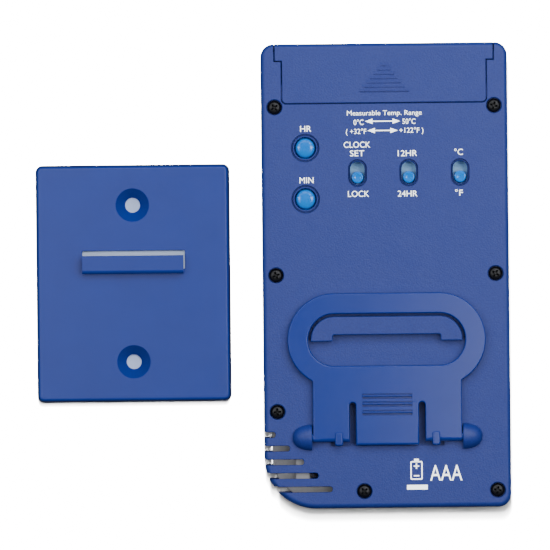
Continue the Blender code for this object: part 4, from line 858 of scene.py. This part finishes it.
def grip_steps():
    """The thumb grip: lines in a triangle that points away from the edge, over shallow steps."""
    count, pitch, base, narrowing = 7, 1.2 * MM, 6.85 * MM, 1.0 * MM
    low = DOOR_LOW + 3.0 * MM
    tools = []
    for index in range(count):
        y = low + index * pitch
        half = base - index * narrowing
        width, depth = (0.36 * MM, 0.6 * MM) if index == 0 else (0.26 * MM, 0.4 * MM)
        tools.append(opening("line", stadium(2 * half, width, (0, y), 3), BACK - depth, BACK,
                             top=0.05 * MM))
        slope = [(y, BACK + MM), (y, BACK - 0.07 * MM), (y + 0.8 * pitch, BACK - 0.005 * MM),
                 (y + 0.8 * pitch, BACK + MM)]
        tools.append(across("step", slope, -half - 0.3 * MM, half + 0.3 * MM))
    return tools


# Stand


def stand_outline():
    """The ring and its neck, with a tongue between two slits that are open at the lower edge."""
    radius = RING_HALF_HEIGHT
    centre_x = RING_HALF_WIDTH - radius
    drop = degrees(acos((NECK_HALF - centre_x) / radius))
    right = arc((centre_x, RING_Y), radius, -drop, 90, 30)
    left = arc((-centre_x, RING_Y), radius, 90, 180 + drop, 30)
    slit_x = TONGUE_HALF + SLIT_WIDTH / 2
    slit_y = SLIT_TOP - SLIT_WIDTH / 2
    slits = [arc((side * slit_x, slit_y), SLIT_WIDTH / 2, 180, 0, 10) for side in (-1, 1)]
    return [(-NECK_HALF, NECK_LOW), (-slit_x - SLIT_WIDTH / 2, NECK_LOW), *slits[0],
            (-TONGUE_HALF, TONGUE_LOW), (TONGUE_HALF, TONGUE_LOW), *slits[1],
            (slit_x + SLIT_WIDTH / 2, NECK_LOW), (NECK_HALF, NECK_LOW), *right, *left]


def hinge_round(low, radius, start, end):
    """A cutter that rounds the stand's lower edge, upper side, between two places along X."""
    centre = (low + radius, STAND_HIGH - radius)
    curve = arc(centre, radius, 92, 178, 8)
    corner = [(low - MM, STAND_HIGH + MM), (low - MM, curve[-1][1])]
    return across("edge", [*corner, *reversed(curve), (curve[0][0], STAND_HIGH + MM)], start, end)


def stand():
    body = slab("fine_stand", stand_outline(), STAND_LOW, STAND_HIGH, top=0.4 * MM,
                bottom=0.25 * MM)
    window = rounded(2 * WINDOW_HALF_WIDTH, 2 * WINDOW_HALF_HEIGHT, WINDOW_HALF_HEIGHT,
                     (0, RING_Y), 20)
    edge = TONGUE_HALF + SLIT_WIDTH / 2
    cut(body, opening("window", window, STAND_LOW, STAND_HIGH, top=0.4 * MM, bottom=0.25 * MM),
        hinge_round(NECK_LOW, 1.1 * MM, -NECK_HALF - MM, -edge),
        hinge_round(NECK_LOW, 1.1 * MM, edge, NECK_HALF + MM),
        hinge_round(TONGUE_LOW, 0.7 * MM, -edge, edge))
    extras = both_bores("pivot", 1.1 * MM, NECK_HALF - MM, NECK_HALF + 2.4 * MM)
    for side in (-1, 1):
        extras.append(slab("lug", rounded(2.3 * MM, 3.8 * MM, 0.62 * MM,
                                          (side * LUG_X, HINGE_Y - 0.5 * MM), 4),
                           STAND_LOW + SLACK, STAND_HIGH + 0.35 * MM, top=0.5 * MM))
    join(body, *extras)
    stand_grip(body)
    piece(body, "stand", "smooth_blue", ("stand",))


def stand_grip(body):
    """Three finger ribs, each standing between two grooves."""
    grooves, ribs = [], []
    for up in (11.5 * MM, 9.3 * MM, 6.9 * MM):
        y = HINGE_Y + up
        for offset, width, depth in ((0.44 * MM, 0.34 * MM, 0.7 * MM), (-0.56 * MM, 0.6 * MM, 1.2 * MM)):
            grooves.append(opening("groove", stadium(14 * MM, width, (0, y + offset), 4),
                                   STAND_HIGH - depth, STAND_HIGH, top=0.06 * MM))
        ribs.append(slab("rib", stadium(14 * MM, 0.5 * MM, (0, y), 4), STAND_HIGH - 0.7 * MM,
                         STAND_HIGH + 0.25 * MM, top=0.2 * MM, steps=3))
    cut(body, *grooves)
    join(body, *ribs)


# Buttons, switches and keys


def buttons():
    made = []
    for name, middle in BUTTONS.items():
        _, low, high = spot(f"{name}_button")
        rise = 1.0 * MM
        shoulder = SKIN_UNDER - SLACK
        flange = BUTTON_RADIUS + 0.8 * MM
        profile = [(0, low.z), (1.6 * MM, low.z), (1.6 * MM, shoulder - 0.8 * MM),
                   (flange, shoulder - 0.8 * MM), (flange, shoulder), (BUTTON_RADIUS, shoulder)]
        profile += [(BUTTON_RADIUS * along**0.8, high.z - rise * (1 - up))
                    for along, up in turns(12)]
        body = turned(f"fine_{name}_button", profile, (middle.x, middle.y, 0))
        made.append(piece(body, f"{name}_button", "button_blue", (f"{name}_button",), 50))
    return made


def sliders():
    made = []
    for name, (middle, low, high) in SLIDERS.items():
        top = SKIN_UNDER - SLACK
        x, y = middle.x, middle.y
        plate = slab(f"fine_{name}_slider", rounded(high.x - low.x, high.y - low.y, 0.3 * MM, (x, y), 3),
                     top - 0.9 * MM, top, top=0.12 * MM, steps=3)
        foot = block("foot", (x - 2 * MM, y - 2.5 * MM, low.z),
                     (x + 2 * MM, y + 2.5 * MM, top - 0.7 * MM))
        foot_z = top + 0.02 * MM - high.z
        profile = [(0, foot_z), (KNOB_RADIUS, foot_z), (KNOB_RADIUS, -0.45 * MM)]
        profile += [(KNOB_RADIUS - 0.4 * MM * (1 - along), -0.45 * MM + 0.4 * MM * up)
                    for along, up in turns(6, 1)]
        profile += [(0.9 * MM, -0.02 * MM), (0.7 * MM, -0.12 * MM), (0, -0.16 * MM)]
        join(plate, foot)
        # the plate takes the paler copy of the button blue, a painted lightening
        made.append(piece(plate, f"{name}_switch", "button_blue", (f"{name}_slider",),
                          material=SLIDER_PAINTED_LIGHT))
        knob = turned(f"fine_{name}_knob", profile, (x, y, high.z))
        made.append(piece(knob, f"{name}_switch", "button_blue", (), 50))
    return made


def front_keys():
    for name, (middle, low, high) in KEYS.items():
        centre = middle[:2]
        flange = FACE_SKIN + SLACK
        key = slab(f"fine_{name}_front_key", stadium(*KEY_SIZE, centre), low.z, flange + SINK,
                   bottom=0.6 * MM)
        skirt = slab("skirt", stadium(*(size + 2 * MM for size in KEY_SIZE), centre), flange,
                     flange + 0.8 * MM)
        stem = pillar("stem", centre, 2 * MM, flange + 0.6 * MM, high.z)
        join(key, skirt, stem)
        piece(key, f"{name}_key", "button_blue", (f"{name}_front_key",), 50)


# Screws


def case_screws():
    """Black pan heads with a cross recess, each turned a little differently."""
    radius, height = 1.875 * MM, 1.3 * MM
    for index, middle in enumerate(SCREWS, 1):
        _, low, high = spot(f"case_screw_{index}")
        under = high.z - height
        profile = [(0, low.z), (0.7 * MM, low.z), (1.1 * MM, low.z + 0.8 * MM), (1.1 * MM, under),
                   (radius - 0.08 * MM, under), (radius, under + 0.08 * MM), (radius, under + 0.45 * MM)]
        profile += [(0.35 * MM + (radius - 0.35 * MM) * along,
                     under + 0.45 * MM + (height - 0.45 * MM) * up) for along, up in turns(8, 1)]
        profile.append((0, high.z))
        head = turned(f"fine_case_screw_{index}", profile, (middle.x, middle.y, 0))
        cut(head, *cross_recess(middle, high.z, 0.62 * radius, 37 * index))
        piece(head, "case", "black_steel", (f"case_screw_{index}",))


def cross_recess(middle, top, reach, angle):
    """Two tapered arms that cross at the screw's axis."""
    turn = Matrix.Translation(middle) @ Matrix.Rotation(radians(angle), 4, "Z")
    arms = []
    for quarter_turn in (0, 90):
        spin = turn @ Matrix.Rotation(radians(quarter_turn), 4, "Z")
        rings = []
        for length, width, height in ((0.35 * reach, 0.1 * MM, top - 1.0 * MM),
                                      (reach, 0.3 * MM, top + 0.02 * MM),
                                      (1.15 * reach, 0.33 * MM, top + 0.3 * MM)):
            corners = ((-length, -width), (length, -width), (length, width), (-length, width))
            rings.append([(*(spin @ Vector((x, y, 0)))[:2], height) for x, y in corners])
        arms.append(loft("arm", rings))
    return arms


# Wall bracket


def wall_bracket():
    middle, low, high = BRACKET
    width, length = high.x - low.x, high.y - low.y
    x, y = middle.x, middle.y
    face = high.z - 2.9 * MM
    inside = face - 2.4 * MM
    edge, draft = 0.9 * MM, 0.45 * MM
    levels = [(0, -0.1 * MM), (0.1 * MM, 0)]
    levels += [(face - depth, -draft - inwards) for depth, inwards in reversed(quarter(edge, 7))]
    body = stack("fine_wall_bracket", rounded(width, length, 2 * MM, (x, y), 8), levels)
    hollow = rounded(width - 3.6 * MM, length - 3.6 * MM, 0.4 * MM, (x, y), 3)
    cut(body, slab("hollow", hollow, -MM, inside))
    centres = [(x, y + side * BRACKET_HOLE_Y) for side in (-1, 1)]
    join(body, *(pillar("boss", centre, 5.4 * MM, 0.1 * MM, inside + SINK, 48) for centre in centres))
    tools = [stack("sink", circle(2.1 * MM, centre, 64),
                   [(-MM, 0), (face - 3.2 * MM, 0), (face - 2.9 * MM, 0.06 * MM),
                    (face - 0.15 * MM, 2.4 * MM), (face, 2.6 * MM), (face + LIP, 2.75 * MM)])
             for centre in centres]
    window = rounded(28.8 * MM, 5.2 * MM, 0.25 * MM, (x + 0.2 * MM, y + 6.6 * MM), 3)
    tools.append(opening("window", window, inside - MM, face, top=0.15 * MM))
    cut(body, *tools)
    hook = across("hook", hook_profile(y, face), x - 14.2 * MM, x + 14.2 * MM)
    join(body, hook)
    piece(body, "wall_bracket", "smooth_blue", ("wall_bracket",), material=BRACKET_BLUE)


def hook_profile(y, face):
    """The hook's section as (y, z): a shelf out of the plate, then a lip that points up."""
    low, shelf, high = y + 2.7 * MM, y + 4.3 * MM, y + 7.8 * MM
    lip_low, lip_high = face + 1.3 * MM, face + 2.9 * MM
    front = arc((low + 1.1 * MM, lip_high - 1.1 * MM), 1.1 * MM, 90, 180, 8)
    tip = arc((high - 0.3 * MM, lip_high - 0.3 * MM), 0.3 * MM, 0, 90, 4)
    return [(low, face - 1.5 * MM), (shelf, face - 1.5 * MM), (shelf, lip_low), (high, lip_low),
            *tip, *front]


# Display


def display():
    middle, low, high = LENS
    outline = rounded(high.x - low.x, high.y - low.y, 1.7 * MM, middle[:2])
    lens = slab("fine_display_lens", outline, low.z, high.z, bottom=0.15 * MM)
    piece(lens, "case", "display_lens", ("display_lens",))
    y = LCD[0].y
    digits("temperature", "23.4", (0, y + 9.5 * MM), 15 * MM)
    digits("clock", "12:08", (0, y - 12.5 * MM), 9 * MM)


SEGMENTS = {"0": "abcdef", "1": "bc", "2": "abged", "3": "abgcd", "4": "fgbc", "8": "abcdefg"}


def digits(name, text, centre, height):
    """Seven-segment figures on the glass, seen from the display side."""
    x, y = centre
    bar = height * 0.11
    width = height * 0.5
    advance = width + 3.2 * bar
    total = sum(advance if mark.isdigit() else 2.4 * bar for mark in text)
    cursor = x + total / 2
    z = LCD[1].z - 0.04 * MM
    marks = []
    for mark in text:
        if not mark.isdigit():
            heights = (-height / 2,) if mark == "." else (-height / 5, height / 5)
            for drop in heights:
                dot = rounded(bar, bar, bar / 4, (cursor - 0.6 * bar, y + drop), 2)
                marks.append(slab("dot", dot, z, z + 0.02 * MM))
            cursor -= 2.4 * bar
            continue
        middle = cursor - width / 2 - 0.6 * bar
        for segment in SEGMENTS[mark]:
            marks.append(slab("segment", segment_outline(segment, (middle, y), width, height, bar),
                              z, z + 0.02 * MM))
        cursor -= advance
    piece(merge(f"display_{name}", marks), "case", "lcd_glass", material=SEGMENT_INK)


def segment_outline(segment, centre, width, height, bar):
    x, y = centre
    half, tall = width / 2, height / 2
    side = {"a": (0, tall), "d": (0, -tall), "g": (0, 0), "b": (-half, tall / 2),
            "c": (-half, -tall / 2), "e": (half, -tall / 2), "f": (half, tall / 2)}[segment]
    level = segment in "adg"
    length = (width if level else tall) - bar * 0.45
    a, b = length / 2, bar / 2
    shape = [(-a, 0), (-a + b, -b), (a - b, -b), (a, 0), (a - b, b), (-a + b, b)]
    if not level:
        shape = [(-v, u) for u, v in shape]
    return [(x + side[0] + u, y + side[1] + v) for u, v in shape]


def merge(name, parts):
    """One object from separate solids."""
    shape = bmesh.new()
    for part in parts:
        shape.from_mesh(part.data)
        bpy.data.meshes.remove(part.data)
    return solid(name, shape)


# Legends


def lettering(text, centre, cap_height, width=None, weight=0.0, flip=False):
    """Raised print on the back, or on the face when it is flipped; returns its solid."""
    curve = bpy.data.curves.new("lettering", "FONT")
    curve.body = text
    curve.align_x = "CENTER"
    curve.resolution_u = 4
    curve.fill_mode = "BOTH"
    curve.size = cap_height / CAPITAL_SHARE
    curve.offset = weight
    curve.extrude = PRINT_THICKNESS / 2
    guide = put("lettering", curve)
    bpy.context.view_layer.update()
    evaluated = guide.evaluated_get(bpy.context.evaluated_depsgraph_get())
    mesh = bpy.data.meshes.new_from_object(evaluated)
    bpy.data.objects.remove(guide)
    xs = [vertex.co.x for vertex in mesh.vertices]
    stretch = width / (max(xs) - min(xs)) if width else 1.0
    middle = (max(xs) + min(xs)) / 2
    height = -0.005 * MM if flip else BACK + PRINT_THICKNESS / 2
    mirror = -1 if flip else 1
    place = Matrix.Translation((centre[0], centre[1] - cap_height / 2, height))
    shrink = Matrix.Diagonal((stretch * mirror, 1, 1, 1))
    mesh.transform(place @ shrink @ Matrix.Translation((-middle, 0, 0)))
    if flip:
        mesh.flip_normals()
    return put("lettering", mesh)


def print_plate(outline):
    return slab("mark", outline, BACK, BACK + PRINT_THICKNESS)


def double_arrow(centre, length):
    """A line with a solid head at each end."""
    x, y = centre
    half, head, spread, line = length / 2, 2.1 * MM, 0.75 * MM, 0.15 * MM
    end = [(half - head, -line), (half - head, -spread), (half, 0), (half - head, spread),
           (half - head, line)]
    return print_plate([(x + side * u, y + side * v) for side in (1, -1) for u, v in end])


def legends():
    """Functional print only: what each control does and the range it measures."""
    letters = [("Measurable Temp. Range", (0.05, 45.55), 1.4, 20.9),
               ("0°C", (-7.2, 42.95), 1.55, 2.8), ("50°C", (6.9, 43.1), 1.55, 3.65),
               ("( +32°F", (-7.9, 40.4), 1.5, 5.7), ("+122°F )", (7.55, 40.6), 1.5, 6.7),
               ("HR", (-22.0, 41.3), 1.75, 3.1), ("MIN", (-21.9, 26.9), 1.75, 3.9),
               ("CLOCK", (-7.7, 36.7), 1.75, 7.4), ("SET", (-7.7, 34.3), 1.75, 4.0),
               ("LOCK", (-7.4, 22.95), 1.75, 5.9), ("12HR", (6.4, 34.2), 1.75, 5.4),
               ("24HR", (6.3, 22.9), 1.75, 5.5), ("°C", (20.7, 34.4), 1.75, 2.4),
               ("°F", (20.7, 23.0), 1.75, 2.2)]
    parts = [lettering(text, (x * MM, y * MM), height * MM, width * MM)
             for text, (x, y), height, width in letters]
    parts.append(double_arrow((-0.5 * MM, 43.15 * MM), 9.8 * MM))
    parts.append(double_arrow((-0.5 * MM, 40.55 * MM), 8.5 * MM))
    parts += battery_marks()
    return piece(merge("legends", parts), "case", "legend_white")


def battery_marks():
    """A plain cell pictogram over a bar, and the cell's size in letters."""
    x, y = 8 * MM, -54.6 * MM
    wall, over = 0.35 * MM, BACK + PRINT_THICKNESS
    cell = stack("cell", rounded(3.4 * MM, 5.2 * MM, 0.4 * MM, (x, y), 4),
                 [(BACK, 0), (BACK, -wall), (over, -wall), (over, 0)], capped=False)
    nub = print_plate(rounded(1.3 * MM, 0.6 * MM, 0.1 * MM, (x, y + 2.95 * MM), 2))
    stroke, corner = 0.34, 0.05 * MM
    signs = [print_plate(rounded(width * MM, height * MM, corner, (x, y + up * MM), 2))
             for width, height, up in ((1.5, stroke, 1.2), (stroke, 0.55, 1.7), (stroke, 0.55, 0.7),
                                       (1.5, stroke, -1.5))]
    bar = print_plate(rounded(5.8 * MM, 1.3 * MM, corner, (x + 0.2 * MM, -59.3 * MM), 2))
    size = lettering("AAA", (16.3 * MM, -55.2 * MM), 4.6 * MM, 9.0 * MM)
    return [cell, nub, *signs, bar, size]


def face_legends():
    """What the three front keys do, printed on the face beside the display."""
    parts = [lettering(text, (middle.x, middle.y - 5.2 * MM), 1.6 * MM, weight=0.04 * MM, flip=True)
             for (middle, _, _), text in zip(KEYS.values(), ("RESET", "MIN", "MAX"))]
    return piece(merge("face_legends", parts), "case", "legend_white")


# Camera, lights and floor


def middle_of_view():
    """The point on the back's plane that the camera looks at."""
    return Vector((CASE_X - 31.0 * MM, 0.45 * MM, BACK))


def camera():
    distance, width = 2.5, 153.8 * MM
    data = bpy.data.cameras.new("camera")
    data.sensor_width = 36
    data.lens = 36 * distance / width
    data.clip_start, data.clip_end = 0.1, 20
    made = put("camera", data)
    made.location = middle_of_view() + Vector((0, 0, distance))
    made.rotation_euler = (0, 0, radians(-0.6))
    bpy.context.scene.camera = made


def softbox(name, place, target, size, power):
    data = bpy.data.lights.new(name, "AREA")
    data.shape = "RECTANGLE"
    data.size, data.size_y = size
    data.energy = power
    made = put(name, data)
    made.location = Vector(place)
    made.rotation_mode = "QUATERNION"
    made.rotation_quaternion = (Vector(target) - Vector(place)).to_track_quat("-Z", "Y")
    made.visible_camera = False
    return made


def light_group(name, members):
    """What a light is linked to."""
    group = bpy.data.collections.new(name)
    for member in members:
        group.objects.link(member)
    return group


def lights(ground, painted_shade_backing, printed, coloured):
    """Softboxes at both sides and beyond the top, and strips that whiten the floor and the print.

    The inner softboxes leave out the coloured controls, whose domes would mirror them. Two more
    at the sides light the controls only.
    """
    axis = middle_of_view()
    muted = light_group("without_controls", coloured)
    for entry in muted.collection_objects:
        entry.light_linking.link_state = "EXCLUDE"
    height, depth = 0.5, 0.6
    for name, near, far, power in (("left_inner", -0.05, -0.22, 0.68), ("left_outer", -0.26, -0.6, 1.5),
                                   ("right_inner", 0.05, 0.22, 1.2), ("right_outer", 0.26, 0.6, 1.9)):
        place = axis + Vector(((near + far) / 2, 0.16, height))
        lamp = softbox(name, place, place - Vector((0, 0, 1)), (abs(far - near), depth), power)
        if "inner" in name:
            lamp.light_linking.receiver_collection = muted
    bright = light_group("controls_only", coloured)
    for name, side, power in (("control_left", -1, 0.7), ("control_right", 1, 1.0)):
        place = axis + Vector((side * 0.36, 0.08, 0.42))
        lamp = softbox(name, place, axis, (0.12, 0.3), power)
        lamp.light_linking.receiver_collection = bright
    softbox("far", axis + Vector((0.1, 0.6, 0.6)), axis, (0.9, 0.4), 1.9)
    floor_only = light_group("floor_only", [ground])
    floor_and_print = light_group("floor_and_print", [ground, *printed])
    all_pale = light_group("all_pale", [ground, *printed, painted_shade_backing])
    height = 1.5
    for lean, spread, power, group in ((2, 4, 14, all_pale), (4.5, 2, 34, floor_and_print),
                                       (6.5, 5, 120, floor_only), (12, 6, 420, floor_only)):
        low, high = (height * tan(radians(lean + side * spread / 2)) for side in (-1, 1))
        place = axis + Vector((0, (low + high) / 2, height))
        strip = softbox(f"strip_{lean}", place, place - Vector((0, 0, 1)), (0.08, high - low), power)
        strip.light_linking.receiver_collection = group
    world = bpy.data.worlds.new("studio")
    world.use_nodes = True
    background = world.node_tree.nodes["Background"].inputs
    background["Color"].default_value = (1, 1, 1, 1)
    background["Strength"].default_value = 0.07
    bpy.context.scene.world = world


def sheet():
    """A bluish grey sheet that lies on the floor inside the hollow bracket: painted shade with a blue cast,
    standing for the floor in the bracket's shadow.
    """
    middle, low, high = BRACKET
    inside = 5 * MM
    outline = rounded(high.x - low.x - inside, high.y - low.y - inside, MM, middle[:2])
    made = slab("sheet", outline, CAD_BOX[0].z - 0.015 * MM, CAD_BOX[0].z - 0.01 * MM)
    made.data.transform(TO_FRAME)
    # its colour is painted shade: the floor dimmed and tinted blue where the bracket shades it
    made.data.materials.append(floor_material("pale_sheet", (0.62, 0.74, 1.0)))
    made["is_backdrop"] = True
    return made


def floor():
    shape = bmesh.new()
    bmesh.ops.create_grid(shape, x_segments=1, y_segments=1, size=2.5)
    ground = solid("floor", shape)
    ground.location.z = CAD_BOX[0].z - 0.02 * MM
    ground.data.materials.append(floor_material("pale_floor", (0.9, 0.9, 0.9)))
    ground.visible_diffuse = False
    ground.visible_glossy = False
    ground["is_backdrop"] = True
    return ground


repaint_cad_nodes()
camera()
rear_cover()
front_shell()
battery_door()
stand()
controls = [*buttons(), *sliders()]
front_keys()
case_screws()
wall_bracket()
display()
sensor_tray()
lights(floor(), sheet(), [legends(), face_legends()], controls)

[[list(corner) for corner in box] for box in (CAD_BOX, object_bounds())]
